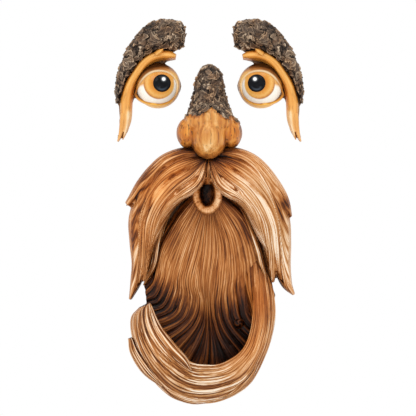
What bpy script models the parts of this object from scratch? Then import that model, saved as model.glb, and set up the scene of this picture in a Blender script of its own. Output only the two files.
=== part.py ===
"""Tree face bird feeder: two eyes with bark brows, a nose, and a moustache whose beard curls into a seed bowl.

Four resin castings hang with their flat backs on one trunk. The face looks along -Y, the trunk is the plane
Y = 0, and the origin lies on the feeder's flat back, on the middle line of the face.
"""

import math
import random

import bmesh
import bpy
import numpy as np
from mathutils import Matrix, Vector

MM = 0.001

# Driving sizes, in metres
FEEDER_HEIGHT = 0.262
BOWL_DEPTH = 0.078
BOWL_WALL = 0.009
MOUSTACHE_DEPTH = 0.046
BEARD_DEPTH = 0.018
MOUTH_DEPTH = 0.022
NOSE_HEIGHT = 0.097
NOSE_WIDTH = 0.066
NOSE_DEPTH = 0.060
NOSE_CLEARANCE = 0.0012
EYE_HEIGHT = 0.124
EYE_DEPTH = 0.034
EYE_TO_NOSE = 0.015
# The carving is laid out in millimetres at these heights, and grows with the castings above
FEEDER_DRAWN = 262.0
NOSE_DRAWN = 97.0
EYE_DRAWN = 124.0

# The hair's ridges, from groove to groove and from groove to crest, on the drawing
RIDGE_PITCH = 6.0
RIDGE_RELIEF = 2.0
ARCH_SQUARENESS = 0.72
SECTION_STEP = 0.0013
# The thinnest that a lock's tip gets
THINNEST = 0.002
# How far every form runs on behind the flat back before the back is cut
BEHIND = 0.004
VOXEL = 0.0019
FEEDER_KEEP = 0.046
NOSE_KEEP = 0.09
EYE_KEEP = 0.115
SEED = 7

# How far the nose's tip lies above the feeder's origin on the drawing
NOSE_FOOT = 30.6
# How far the eyeballs lie above the nose's tip, as a share of the nose's height
EYE_UP_NOSE = 0.774

FINISHES = {
    "beard_resin": ((0.36, 0.18, 0.075), 0.45),
    "nose_resin": ((0.55, 0.27, 0.10), 0.42),
    "brow_resin": ((0.25, 0.16, 0.095), 0.55),
}


def smooth(points, count):
    """Rows along the smooth curve that passes through the given rows of numbers."""
    rows = np.array(points, float)
    ends = np.vstack([2 * rows[0] - rows[1], rows, 2 * rows[-1] - rows[-2]])
    place = np.linspace(0, len(rows) - 1, count)
    i = np.minimum(place.astype(int), len(rows) - 2)
    t = (place - i)[:, None]
    a, b, c, d = ends[i], ends[i + 1], ends[i + 2], ends[i + 3]
    return b + 0.5 * t * (c - a + t * (2 * a - 5 * b + 4 * c - d + t * (3 * (b - c) + d - a)))


def ridged(share, ridges):
    """Rounded ridges with sharp grooves between them: 0 in a groove and 1 on a crest."""
    return np.abs(np.sin(math.pi * ridges * share))


def to_world(across, up, depth):
    """Points of a casting, whose carving faces -Y."""
    return np.stack([across, -depth, up], axis=-1)


def skin(name, rings):
    """A closed mesh over rings of equally many points, with a flat face at each end."""
    count, size = rings.shape[:2]
    faces = [tuple(range(size)), tuple(range((count - 1) * size, count * size))]
    for i in range(count - 1):
        for j in range(size):
            k = (j + 1) % size
            faces.append((i * size + j, i * size + k, (i + 1) * size + k, (i + 1) * size + j))
    mesh = bpy.data.meshes.new(name)
    mesh.from_pydata(rings.reshape(-1, 3).tolist(), [], faces)
    face_outwards(mesh)
    return mesh


def face_outwards(mesh):
    """Turns every face of a closed mesh outwards."""
    work = bmesh.new()
    work.from_mesh(mesh)
    bmesh.ops.recalc_face_normals(work, faces=work.faces)
    if work.calc_volume(signed=True) < 0:
        bmesh.ops.reverse_faces(work, faces=work.faces)
    work.to_mesh(mesh)
    work.free()


def lock_of_hair(name, spine, scale, depth, stations=14, back=None):
    """One tapering lock. Each spine row is across, up, half width and crest, a share of the given depth.

    Its ridges keep their pitch over the arched section, so they run down the sides too. The lock runs back
    through the trunk plane, unless back gives the depth of its underside as a share.
    """
    rows = smooth(spine, stations)
    centre, half = rows[:, :2] * scale, rows[:, 2] * scale
    along = np.gradient(centre, axis=0)
    along /= np.linalg.norm(along, axis=1, keepdims=True)
    side = np.stack([-along[:, 1], along[:, 0]], axis=1)
    crest = rows[:, 3] * depth
    under = np.full(stations, -BEHIND) if back is None else smooth([[b] for b in back], stations)[:, 0] * depth
    under = np.minimum(under, crest - THINNEST)
    across, arch, girth = arched_section(half.mean(), (crest - under).mean())
    ridges = max(2, round(girth / (RIDGE_PITCH * scale)))
    share = np.linspace(0, 1, len(across))
    groove = RIDGE_RELIEF * scale * (ridged(share, ridges) - 1)
    offset = across[None, :] * (half[:, None] + groove[None, :] * np.abs(across)[None, :] ** 3)
    flat = centre[:, None, :] + offset[..., None] * side[:, None, :]
    deep = under[:, None] + (crest - under)[:, None] * arch[None, :] + groove[None, :] * (arch > 0.05)
    return skin(name, to_world(flat[..., 0], flat[..., 1], deep))


def arched_section(half, height):
    """Points evenly spaced along an arch, across from -1 to 1 and up from 0 to 1, and the arch's length."""
    turn = np.linspace(0, math.pi, 400)
    across = -np.sign(np.cos(turn)) * np.abs(np.cos(turn)) ** ARCH_SQUARENESS
    up = np.sin(turn) ** ARCH_SQUARENESS
    run = np.concatenate([[0], np.cumsum(np.hypot(np.diff(across) * half, np.diff(up) * height))])
    even = np.linspace(0, run[-1], max(12, round(run[-1] / SECTION_STEP)) + 1)
    return np.interp(even, run, across), np.interp(even, run, up), run[-1]


def ellipsoid(name, centre, radii, turn=0.0, detail=24):
    """A closed ellipsoid about centre (across, up, depth), turned in the plane of the face."""
    work = bmesh.new()
    bmesh.ops.create_uvsphere(work, u_segments=detail, v_segments=detail // 2, radius=1.0)
    for vertex in work.verts:
        x, z = vertex.co.x * radii[0], vertex.co.z * radii[1]
        vertex.co = Vector((
            centre[0] + x * math.cos(turn) - z * math.sin(turn),
            -centre[2] + vertex.co.y * radii[2],
            centre[1] + x * math.sin(turn) + z * math.cos(turn),
        ))
    mesh = bpy.data.meshes.new(name)
    work.to_mesh(mesh)
    work.free()
    return mesh


# The beard's strands fan out from the mouth. Each row is one guide strand, from its root to its end
BEARD_STRANDS = [
    [(-14, 1), (-38, -20), (-54, -52), (-58, -74), (-60, -92), (-64, -100)],
    [(-13, -7), (-33, -32), (-46, -66), (-47, -90), (-52, -106), (-63, -112)],
    [(-10, -14), (-26, -46), (-36, -82), (-36, -106), (-44, -122), (-58, -128)],
    [(-6, -18), (-16, -54), (-23, -96), (-24, -122), (-34, -142), (-50, -146)],
    [(-2, -19), (-7, -60), (-9, -104), (-9, -132), (-15, -154), (-28, -168)],
    [(1, -19), (4, -60), (2, -104), (2, -136), (4, -156), (4, -176)],
    [(5, -18), (15, -54), (18, -94), (16, -124), (20, -148), (34, -166)],
    [(8, -14), (25, -46), (33, -82), (29, -110), (33, -134), (48, -148)],
    [(10, -7), (34, -32), (46, -64), (47, -90), (50, -112), (61, -128)],
    [(11, 1), (38, -18), (52, -46), (58, -70), (61, -90), (67, -106)],
]
# Depth along a strand, from root to end, as shares of the moustache's depth and then of the beard's
BEARD_SWELL = [(0.30,), (0.24,), (0.15,), (0.07,), (0.02,), (0.0,)]


def beard(scale):
    """The back of the feeder: a slab whose front is combed into strands."""
    per_guide, stations = 6, 20
    guides = np.array([smooth(strand, stations) for strand in BEARD_STRANDS])
    count = per_guide * (len(guides) - 1) + 1
    combed = smooth(guides.reshape(len(guides), -1), count).reshape(count, stations, 2)
    combed = combed.transpose(1, 0, 2) * scale
    share = np.linspace(0, 1, count)
    swell = smooth(BEARD_SWELL, stations) * MOUSTACHE_DEPTH
    strands = 2 * (len(guides) - 1)
    front = BEARD_DEPTH + swell + RIDGE_RELIEF * scale * (ridged(share, strands)[None, :] - 1)
    back = np.full_like(front, -BEHIND)
    rings = np.concatenate([
        to_world(combed[..., 0], combed[..., 1], front),
        to_world(combed[:, ::-1, 0], combed[:, ::-1, 1], back),
    ], axis=1)
    return skin("beard", rings)


# The plate that everything on the feeder is carved from, as its outline
PLATE = [
    (-12, 34), (-46, 29), (-66, 12), (-73, -12), (-72, -40), (-70, -62), (-69, -84), (-61, -95), (-58, -108), (-65, -119),
    (-71, -134), (-71, -152), (-64, -170), (-50, -188), (-32, -199), (-14, -206), (6, -206), (24, -200),
    (40, -187), (51, -168), (60, -148), (62, -120), (60, -92), (62, -66), (74, -40), (76, -12), (68, 12),
    (48, 29), (12, 34),
]


def plate(scale):
    """The plain backing of the feeder."""
    outline = smooth(PLATE + PLATE[:1], 3 * len(PLATE) + 1)[:-1] * scale
    rings = [to_world(outline[:, 0], outline[:, 1], np.full(len(outline), d)) for d in (-BEHIND, 0.62 * BEARD_DEPTH)]
    return skin("plate", np.array(rings))


# The bowl's wall, from the right side of the beard round to the tip of the curl. Each row is the outer
# edge (across, up), the rim (across, up), and the rim's depth as a share of the bowl's
BOWL = [
    (55, -56, 44, -58, 0.28),
    (63, -88, 44, -86, 0.40),
    (67, -112, 43.5, -112, 0.56),
    (66.5, -134, 40.5, -138, 0.76),
    (59, -162, 32, -157, 0.90),
    (42, -194, 14, -169, 0.98),
    (14, -211, -3, -171, 1.0),
    (-14, -214, -18, -168, 1.0),
    (-38, -208, -31, -158, 0.97),
    (-58, -189, -43, -145, 0.90),
    (-72, -166, -52, -132, 0.82),
    (-79, -145, -56, -122, 0.74),
    (-79, -128, -57, -114, 0.66),
    (-72, -119, -58, -112, 0.60),
]
# The wall's section from its back to the rim, as shares of its width and of its depth
BOWL_SECTION = [(0.30, 0.0), (0.10, 0.12), (0.0, 0.34), (0.03, 0.58), (0.22, 0.83), (0.55, 0.97), (0.86, 1.0), (1.0, 0.93)]
BOWL_RIDGES = 7


def bowl(scale):
    """The beard's curl: one curved wall that carries the hair round the front of the seed bowl."""
    stations, samples = 40, 4 * BOWL_RIDGES + 1
    rows = smooth(BOWL, stations)
    outer, rim, depth = rows[:, :2] * scale, rows[:, 2:4] * scale, rows[:, 4] * BOWL_DEPTH
    section = smooth(BOWL_SECTION, samples)
    section[0, 1] = -BEHIND / BOWL_DEPTH
    width = np.linalg.norm(rim - outer, axis=1)
    inward = (rim - outer) / width[:, None]
    share = np.linspace(0, 1, samples)
    relief = RIDGE_RELIEF * scale * (ridged(share, BOWL_RIDGES) * np.minimum(1, 5 * share) - 1)
    rings = []
    for i in range(stations):
        profile = section * [width[i], depth[i]]
        along = np.gradient(profile, axis=0)
        along /= np.linalg.norm(along, axis=1, keepdims=True)
        normal = np.stack([-along[:, 1], along[:, 0]], axis=1)
        inner = (profile - BOWL_WALL * normal)[::-1]
        inner[:, 0] = np.minimum(inner[:, 0], width[i] + BOWL_WALL)
        ring = np.concatenate([profile + relief[:, None] * normal, inner])
        flat = outer[i] + ring[:, :1] * inward[i]
        rings.append(to_world(flat[:, 0], flat[:, 1], ring[:, 1]))
    return skin("bowl", np.array(rings))


# The moustache's locks. Each row is across, up, half width and crest depth as a share of the moustache's
MOUSTACHE = {
    "left_top": [(-6, 36, 5, 0.62), (-24, 37, 7, 0.78), (-42, 30, 8, 0.88), (-56, 18, 8, 0.90),
                     (-67, 5, 7, 0.85), (-76, -7, 4.5, 0.74), (-84, -16, 1.5, 0.62)],
    "left_tail": [(-6, 28, 5, 0.66), (-26, 25, 8, 0.84), (-45, 13, 10.5, 0.93), (-60, -5, 11.5, 0.91),
                      (-69, -28, 12, 0.80), (-70.5, -52, 10, 0.64), (-71, -74, 7.5, 0.50), (-74, -92, 5.8, 0.42),
                      (-80, -110.5, 1.5, 0.32)],
    "left_side": [(-5, 22, 4, 0.75), (-20, 14, 6.5, 0.92), (-36, 3, 8, 1.0), (-50, -13, 8.5, 0.97),
                      (-59, -33, 8, 0.84), (-62, -55, 6.5, 0.68), (-64, -75, 4.5, 0.54), (-65.5, -92, 1.5, 0.42)],
    "left_inner": [(-4, 18, 3.5, 0.85), (-12, 6, 4.5, 1.0), (-26, -3, 5, 1.04), (-39, -13, 5.5, 1.02),
                       (-48.5, -27, 5.5, 0.94), (-55, -44, 4.5, 0.82), (-59.5, -61, 1.2, 0.68)],
    "left_ridge": [(-2, 25, 3, 0.75), (-6, 12, 4, 1.0), (-15, 2, 4.5, 1.07), (-24, -5, 3.5, 1.06),
                       (-32, -10, 1.2, 0.98)],
    "right_top": [(6, 36, 5, 0.62), (22, 37, 7, 0.78), (38, 29.5, 8, 0.88), (50, 17.5, 8, 0.92),
                      (62, 0, 8, 0.90), (73, -14, 7, 0.80), (82, -28, 1.8, 0.64)],
    "right_tail": [(6, 28, 5, 0.66), (24, 25, 8, 0.84), (43, 13, 11, 0.94), (59, -7, 12.5, 0.93),
                       (68.5, -30, 12.5, 0.84), (71.5, -54, 11, 0.68), (73.5, -76, 8.8, 0.54),
                       (78, -94, 5.8, 0.44), (85.5, -105.5, 1.5, 0.34)],
    "right_side": [(5, 22, 4, 0.75), (19, 14, 6.5, 0.92), (34, 3, 8.5, 1.0), (48, -14, 9, 0.97),
                       (58, -35, 8, 0.86), (61.5, -56, 6.5, 0.70), (63, -76, 4.5, 0.56), (64, -93, 1.5, 0.44)],
    "right_inner": [(4, 18, 3.5, 0.85), (13, 5, 4.5, 1.0), (26, -4, 5.5, 1.04), (38, -13, 6, 1.02),
                        (46, -28, 5.5, 0.95), (52, -44, 4.5, 0.84), (57, -58, 1.4, 0.70)],
    "right_ridge": [(2, 25, 3, 0.75), (5.5, 12, 4, 1.0), (13, 1, 4.5, 1.07), (22, -6, 3.5, 1.05),
                        (30, -11, 1.2, 0.97)],
}
# Locks that lie on the outside of the bowl: across, up, half width and crest depth as a share of the bowl's
BOWL_LOCKS = {
    "curl_edge": [(-80.5, -148, 2, 0.40), (-75, -162, 5.5, 0.54), (-63, -180, 6.5, 0.62), (-47, -196, 3, 0.60)],
    "low_left": [(-48, -191, 2.5, 0.68), (-34, -200, 6, 0.76), (-14, -206, 6.5, 0.78), (10, -205, 3, 0.76)],
    "low_right": [(13, -206, 1.8, 0.72), (26, -197, 4.5, 0.80), (42, -180, 4, 0.78), (50, -160, 2, 0.72)],
}
# The lips around the open mouth: across, up and half sizes
MOUTH = (-2.0, -5.0)
LIP_HALF = (13.5, 18.5)
MOUTH_HALF = (6.8, 11.8)
# How far the opening's middle lies above the lips' middle
MOUTH_RISE = 2.5
# The small curl of the beard inside the bowl, as across, up and radius
KNOB = (30, -134, 5.5)


def feeder_forms(scale):
    """Every closed form that is carved into the feeder."""
    forms = [plate(scale), beard(scale), bowl(scale)]
    for name, spine in MOUSTACHE.items():
        forms.append(lock_of_hair(name, spine, scale, MOUSTACHE_DEPTH, stations=18))
    for name, spine in BOWL_LOCKS.items():
        forms.append(lock_of_hair(name, spine, scale, BOWL_DEPTH, back=[0.3, 0.4, 0.4, 0.3]))
    lip = (MOUTH[0] * scale, MOUTH[1] * scale, 0.54 * MOUSTACHE_DEPTH)
    forms.append(ellipsoid("lip", lip, (LIP_HALF[0] * scale, LIP_HALF[1] * scale, 0.33 * MOUSTACHE_DEPTH)))
    knob = (KNOB[0] * scale, KNOB[1] * scale, BEARD_DEPTH)
    forms.append(ellipsoid("knob", knob, (KNOB[2] * scale, KNOB[2] * scale, 0.25 * BEARD_DEPTH)))
    return forms


# The nose is drawn from its tip upwards. Each row is up, half width and depth, shares of the drawn sizes
BRIDGE = [(9, 12, 0.30), (14, 20, 0.45), (22, 25, 0.56), (32, 26, 0.62), (42, 24, 0.64), (50, 21, 0.65),
          (58, 18, 0.64), (66, 16.5, 0.62), (74, 14.5, 0.58), (82, 13, 0.52), (89, 11, 0.44), (94, 8, 0.36),
          (97, 3, 0.26)]
BULBS = {
    "tip": (-0.5, 21.5, 18.0, 21.5, 0.56, 0.44),
    "left_wing": (-21.5, 26.5, 11.5, 15.5, 0.42, 0.33),
    "right_wing": (21.5, 26.5, 11.5, 15.5, 0.42, 0.33),
}
NOSE_BARK = [(0, 91, 7, 0.40), (0, 86, 10.5, 0.46), (0, 76, 13, 0.56), (0, 64, 15.5, 0.61), (0, 52, 18.5, 0.64)]


def nose_forms(scale, wide, grow=0.0, rng=None):
    """The nose's forms about its tip, all grown outwards by a clearance where asked, with bark given an rng."""
    forms = []
    for name, (x, z, half_x, half_z, depth, half_depth) in BULBS.items():
        centre = (x * wide, z * scale, depth * NOSE_DEPTH)
        radii = (half_x * wide + grow, half_z * scale + grow, half_depth * NOSE_DEPTH + grow)
        forms.append(ellipsoid(name, centre, radii, detail=28))
    rows = smooth(BRIDGE, 22)
    turn = np.linspace(0, math.pi, 19)
    rings = []
    for (up, half, deep), end in zip(rows, np.linspace(-1, 1, len(rows))):
        across = np.cos(turn) * (half * wide + grow)
        depth = -BEHIND + np.sin(turn) ** 0.8 * (deep * NOSE_DEPTH + BEHIND + grow)
        rings.append(to_world(across, np.full_like(across, up * scale + end * grow), depth))
    forms.append(skin("bridge", np.array(rings)))
    if rng is not None:
        forms += bark_chips(NOSE_BARK, 24, scale, NOSE_DEPTH, CHIP * scale, rng)
    return forms


def chip_of_bark(name, centre, lean, length, width, thick, rise):
    """A flake of bark that stands a little off the surface, its tip raised."""
    rows = np.linspace(-1, 1, 5)
    rings = []
    for t in rows:
        half = width * (1 - 0.35 * t * t)
        middle = Vector(centre) + Vector(lean[0]) * (t * length) + Vector(lean[2]) * (rise * (t + 1) ** 2 / 4)
        corners = []
        for a, b in ((-1, -1), (1, -1), (0.8, 1), (-0.8, 1)):
            corners.append(middle + Vector(lean[1]) * (a * half) + Vector(lean[2]) * (b * thick))
        rings.append(corners)
    return skin(name, np.array([[list(c) for c in ring] for ring in rings]))


def bark_chips(rows, count, scale, depth, size, rng):
    """Flakes scattered over a rounded body, given as rows of across, up, half width and crest depth."""
    path = smooth(rows, 60)
    forms = []
    for i in range(count):
        k = min(58, int((i + rng.random()) / count * 59))
        here, after = path[k], path[k + 1]
        along = Vector((after[0] - here[0], 0, after[1] - here[1])).normalized()
        side = Vector((-along.z, 0, along.x))
        turn = math.pi * (0.04 + 0.92 * rng.random())
        flat = Vector((here[0], 0, here[1])) * scale + side * (math.cos(turn) * here[2] * scale)
        out = (side * math.cos(turn) + Vector((0, -1, 0)) * math.sin(turn)).normalized()
        centre = flat + Vector((0, -math.sin(turn) ** 0.8 * here[3] * depth, 0))
        across = out.cross(along).normalized()
        spin = rng.uniform(-0.7, 0.7)
        run = (along * math.cos(spin) + across * math.sin(spin)).normalized()
        wide = out.cross(run).normalized()
        length = size * rng.uniform(0.7, 1.5)
        forms.append(chip_of_bark("chip", centre, (run, wide, out), length, 0.45 * length, 0.28 * size,
                                  0.35 * size * rng.random()))
    return forms


# The left eye is drawn about the middle of its eyeball; the right eye mirrors it.
# Rows are across, up, half width and crest depth as a share of the eye's
BROW = [(27.5, 50, 9, 0.66), (22, 50.5, 14, 0.86), (13, 50.5, 16.5, 0.97), (0.5, 48.5, 16.5, 1.0),
        (-10.5, 42.5, 14, 0.98), (-23.7, 29.5, 10, 0.90), (-32.6, 14, 7.5, 0.76), (-37.2, 2, 5.8, 0.62),
        (-39.6, -8, 4, 0.52), (-40.6, -18, 1.5, 0.42)]
BROW_EDGE = [(16, 28, 2.5, 0.60), (6, 28.5, 5, 0.74), (-5, 26, 6, 0.78), (-14.7, 18.5, 6, 0.76), (-22.5, 7.5, 6, 0.68),
             (-27.5, -4, 6.2, 0.60), (-31, -14, 6.6, 0.54), (-33, -22, 6.8, 0.48), (-33.6, -32, 5.6, 0.42),
             (-34.6, -42, 4, 0.36)]
BROW_PRONGS = [
    [(-36, -34, 3.4, 0.42), (-36.8, -45, 2.8, 0.36), (-41.5, -56, 1.0, 0.28)],
    [(-30.6, -30, 3.2, 0.42), (-31.6, -43, 2.6, 0.34), (-35.5, -53.5, 0.9, 0.26)],
]
EYEBALL_RADIUS = 20.8
LID_RADIUS = 22.8
LID_ROLL = 2.6
PUPIL = (5.0, 2.0, 8.9)
# The opening between the lids, all the way round
LIDS = [(-22, -8.5), (-16.5, 2), (-9.7, 9.5), (-3, 13.5), (4.3, 15), (11, 13), (17, 8.0), (21.2, 1.5), (19.3, -6.5),
        (12.3, -15.2), (1.3, -18.5), (-7.7, -17.5), (-15.7, -13.8)]
EYEBALL_CENTRE = 0.26
CHIP = 5.4


def eye_forms(scale, rng):
    """The forms of the left eye, about the middle of its eyeball."""
    middle = EYEBALL_CENTRE * EYE_DEPTH
    ball = ellipsoid("eyeball", (0, 0, middle), [EYEBALL_RADIUS * scale] * 2 + [EYE_DEPTH * 0.62], detail=36)
    pupil_depth = middle + 0.55 * EYE_DEPTH
    pupil = ellipsoid("pupil", (PUPIL[0] * scale, PUPIL[1] * scale, pupil_depth),
                      (PUPIL[2] * scale, PUPIL[2] * scale, 0.10 * EYE_DEPTH))
    forms = [ball, pupil, *lids(scale, middle)]
    forms.append(lock_of_hair("brow_edge", BROW_EDGE, scale, EYE_DEPTH, stations=18))
    for prong in BROW_PRONGS:
        forms.append(lock_of_hair("brow_prong", prong, scale, EYE_DEPTH, stations=8))
    forms.append(lock_of_hair("brow", BROW, scale, EYE_DEPTH, stations=20))
    forms += bark_chips(BROW[:-1], 34, scale, EYE_DEPTH, CHIP * scale, rng)
    return forms


def lids(scale, middle):
    """The eyelids: a dome over the eyeball, open between the lids down to the ball, with a rolled edge."""
    rim = smooth(LIDS + LIDS[:1], 49)[:-1] * scale
    reach = np.linalg.norm(rim, axis=1)
    turns = rim / reach[:, None]
    dome, roll = EYE_DEPTH * 0.66, LID_ROLL * scale
    radius = np.maximum(LID_RADIUS * scale, reach + roll)

    def surface(ray):
        return middle + dome * np.sqrt(np.maximum(0, 1 - (ray / radius) ** 2))

    def ring(ray, height):
        flat = turns * ray[:, None]
        return to_world(flat[:, 0], flat[:, 1], height)

    shell = [ring(reach + (radius - reach) * share ** 0.8, surface(reach + (radius - reach) * share ** 0.8))
             for share in np.linspace(0, 1, 8)]
    shell.append(ring(radius, np.full(len(rim), -BEHIND)))
    shell.append(ring(reach * 0.8, np.full(len(rim), -BEHIND)))
    shell.append(ring(reach * 0.6, np.full(len(rim), middle)))
    edge = []
    for turn in np.linspace(0, 2 * math.pi, 9)[:-1]:
        ray = np.minimum(reach, radius - roll) + roll * math.cos(turn)
        edge.append(ring(ray, surface(np.minimum(reach, radius - roll)) + roll * math.sin(turn)))
    return [loop_skin("lids", np.array(shell)), loop_skin("lid_edge", np.array(edge))]


def loop_skin(name, rings):
    """A closed mesh over rings that come back to the first."""
    count, size = rings.shape[:2]
    faces = []
    for i in range(count):
        for j in range(size):
            a, b, k = i * size, (i + 1) % count * size, (j + 1) % size
            faces.append((a + j, a + k, b + k, b + j))
    mesh = bpy.data.meshes.new(name)
    mesh.from_pydata(rings.reshape(-1, 3).tolist(), [], faces)
    face_outwards(mesh)
    return mesh


def finish_material(name):
    """A painted resin finish."""
    colour, roughness = FINISHES[name]
    material = bpy.data.materials.new(name)
    material.use_nodes = True
    shader = material.node_tree.nodes["Principled BSDF"]
    shader.inputs["Base Color"].default_value = (*colour, 1)
    shader.inputs["Roughness"].default_value = roughness
    shader.inputs["Metallic"].default_value = 0.0
    return material


def joined(name, meshes, collection):
    """One object that holds all the given meshes."""
    work = bmesh.new()
    for mesh in meshes:
        work.from_mesh(mesh)
        bpy.data.meshes.remove(mesh)
    whole = bpy.data.meshes.new(name)
    work.to_mesh(whole)
    work.free()
    made = bpy.data.objects.new(name, whole)
    collection.objects.link(made)
    return made


def as_cutter(made):
    """Keeps a helper out of the render."""
    made.hide_render = True
    made.display_type = "WIRE"
    return made


def remesh(made, keep):
    """Casts the forms as one skin, then thins its faces."""
    voxels = made.modifiers.new("One skin", "REMESH")
    voxels.mode = "VOXEL"
    voxels.voxel_size = VOXEL
    thin = made.modifiers.new("Fewer faces", "DECIMATE")
    thin.ratio = keep


def cut(made, cutter, name):
    """Takes the cutter out of the object."""
    boolean = made.modifiers.new(name, "BOOLEAN")
    boolean.operation = "DIFFERENCE"
    boolean.solver = "EXACT"
    boolean.object = cutter


def trunk(collection):
    """The space behind the castings, which cuts every back flat."""
    reach = 4 * FEEDER_HEIGHT
    work = bmesh.new()
    bmesh.ops.create_cube(work, size=reach, matrix=Matrix.Translation((0, reach / 2, 0)))
    return cutter("trunk", work, collection)


def cutter(name, work, collection):
    """A helper object made of one bmesh."""
    mesh = bpy.data.meshes.new(name)
    work.to_mesh(mesh)
    work.free()
    made = bpy.data.objects.new(name, mesh)
    collection.objects.link(made)
    return as_cutter(made)


def mirror_across(mesh):
    """Mirrors a mesh from left to right, with its faces kept outwards."""
    mesh.transform(Matrix.Diagonal((-1, 1, 1, 1)))
    mesh.flip_normals()


def flat_backed(made, back, keep, finish):
    """Thins a casting, cuts its back flat and paints it."""
    remesh(made, keep)
    cut(made, back, "Flat back")
    made.data.materials.append(finish)


def main():
    """Builds the four castings."""
    for old in list(bpy.data.objects):
        bpy.data.objects.remove(old)
    face = bpy.data.collections.new("tree_face_bird_feeder")
    cutters = bpy.data.collections.new("cutters")
    bpy.context.scene.collection.children.link(face)
    bpy.context.scene.collection.children.link(cutters)
    finishes = {name: finish_material(name) for name in FINISHES}
    back = trunk(cutters)

    drawn = FEEDER_HEIGHT / FEEDER_DRAWN
    nose_drawn = NOSE_HEIGHT / NOSE_DRAWN
    nose_wide = NOSE_WIDTH / 66.0
    eye_drawn = EYE_HEIGHT / EYE_DRAWN
    nose_foot = NOSE_FOOT * drawn

    feeder = joined("feeder", feeder_forms(drawn), face)
    remesh(feeder, FEEDER_KEEP)
    pit = joined("mouth_opening", [ellipsoid(
        "pit", (MOUTH[0] * drawn, (MOUTH[1] + MOUTH_RISE) * drawn, 0.78 * MOUSTACHE_DEPTH),
        (MOUTH_HALF[0] * drawn, MOUTH_HALF[1] * drawn, MOUTH_DEPTH))], cutters)
    cut(feeder, as_cutter(pit), "Mouth")
    room = joined("room_for_nose", nose_forms(nose_drawn, nose_wide, NOSE_CLEARANCE), cutters)
    room.location.z = nose_foot
    remesh(room, NOSE_KEEP)
    cut(feeder, as_cutter(room), "Room for the nose")
    cut(feeder, back, "Flat back")
    feeder.data.materials.append(finishes["beard_resin"])

    nose = joined("nose", nose_forms(nose_drawn, nose_wide, rng=random.Random(SEED)), face)
    nose.location.z = nose_foot
    flat_backed(nose, back, NOSE_KEEP, finishes["nose_resin"])

    eye_up = nose_foot + EYE_UP_NOSE * NOSE_HEIGHT
    bridge = np.interp(EYE_UP_NOSE * NOSE_DRAWN, [row[0] for row in BRIDGE], [row[1] for row in BRIDGE])
    eye_out = bridge * nose_wide + EYE_TO_NOSE + LID_RADIUS * eye_drawn
    for name, side in (("eye_left", -1), ("eye_right", 1)):
        eye = joined(name, eye_forms(eye_drawn, random.Random(SEED)), face)
        if side > 0:
            mirror_across(eye.data)
        eye.location = (side * eye_out, 0, eye_up)
        flat_backed(eye, back, EYE_KEEP, finishes["brow_resin"])


main()
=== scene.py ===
"""The looks of a tree face bird feeder: carved hair, wood, bark and painted eyes, in cast resin.

Every form keeps the shape of its CAD solid and adds the fine relief and the paint. Lengths are in metres
unless a name ends in _mm, and a point's depth is how far it stands off the trunk, along -Y.
"""

from __future__ import annotations

import logging
import math
from dataclasses import dataclass
from enum import Enum
from typing import Callable, Iterable, Sequence

import bmesh
import bpy
import numpy as np
from mathutils import Matrix, Vector, noise
from mathutils.bvhtree import BVHTree
from mathutils.kdtree import KDTree

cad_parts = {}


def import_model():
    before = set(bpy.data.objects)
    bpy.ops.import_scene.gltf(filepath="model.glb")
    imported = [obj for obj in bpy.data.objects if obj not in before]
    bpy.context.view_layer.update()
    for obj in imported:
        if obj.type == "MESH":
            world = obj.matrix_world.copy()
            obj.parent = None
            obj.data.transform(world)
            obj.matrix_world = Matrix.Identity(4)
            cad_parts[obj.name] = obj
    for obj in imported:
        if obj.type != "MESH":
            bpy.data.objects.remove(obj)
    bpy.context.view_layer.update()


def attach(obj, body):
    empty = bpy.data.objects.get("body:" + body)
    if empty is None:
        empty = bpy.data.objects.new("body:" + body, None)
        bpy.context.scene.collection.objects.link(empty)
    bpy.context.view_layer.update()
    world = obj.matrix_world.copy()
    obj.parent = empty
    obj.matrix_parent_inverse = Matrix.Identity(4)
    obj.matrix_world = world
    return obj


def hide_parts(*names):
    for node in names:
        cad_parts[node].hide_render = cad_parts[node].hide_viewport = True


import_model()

log = logging.getLogger("tree_face")

MM = 0.001
# The forms stop this far in front of the trunk, behind which only the back plates reach
SEAT = 0.0014
# How far the CAD forms run on behind the trunk plane, which their arches are measured from
BEHIND = 0.004

Array = np.ndarray


class Side(Enum):
    """A side of the face, as the viewer sees it."""

    LEFT = -1
    RIGHT = 1


def spline(points: Sequence[Sequence[float]], count: int) -> Array:
    """Samples the smooth curve through rows of numbers.

    Args:
        points: The rows that the curve passes through.
        count: How many rows to return.

    Returns:
        The sampled rows.
    """
    rows = np.array(points, float)
    ends = np.vstack([2 * rows[0] - rows[1], rows, 2 * rows[-1] - rows[-2]])
    place = np.linspace(0, len(rows) - 1, count)
    i = np.minimum(place.astype(int), len(rows) - 2)
    t = (place - i)[:, None]
    a, b, c, d = ends[i], ends[i + 1], ends[i + 2], ends[i + 3]
    return b + 0.5 * t * (c - a + t * (2 * a - 5 * b + 4 * c - d + t * (3 * (b - c) + d - a)))


def step_between(low: float, high: float, value: Array) -> Array:
    """Rises smoothly from 0 at low to 1 at high."""
    share = np.clip((value - low) / (high - low), 0, 1)
    return share * share * (3 - 2 * share)


def world(across: Array, up: Array, depth: Array) -> Array:
    """Points of the face from their place across, up and off the trunk."""
    return np.stack([across, -depth, up], axis=-1)


def run_length(path: Array) -> Array:
    """The distance along a path of points, at each point."""
    steps = np.linalg.norm(np.diff(path, axis=0), axis=-1)
    return np.concatenate([[0], np.cumsum(steps)])


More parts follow.
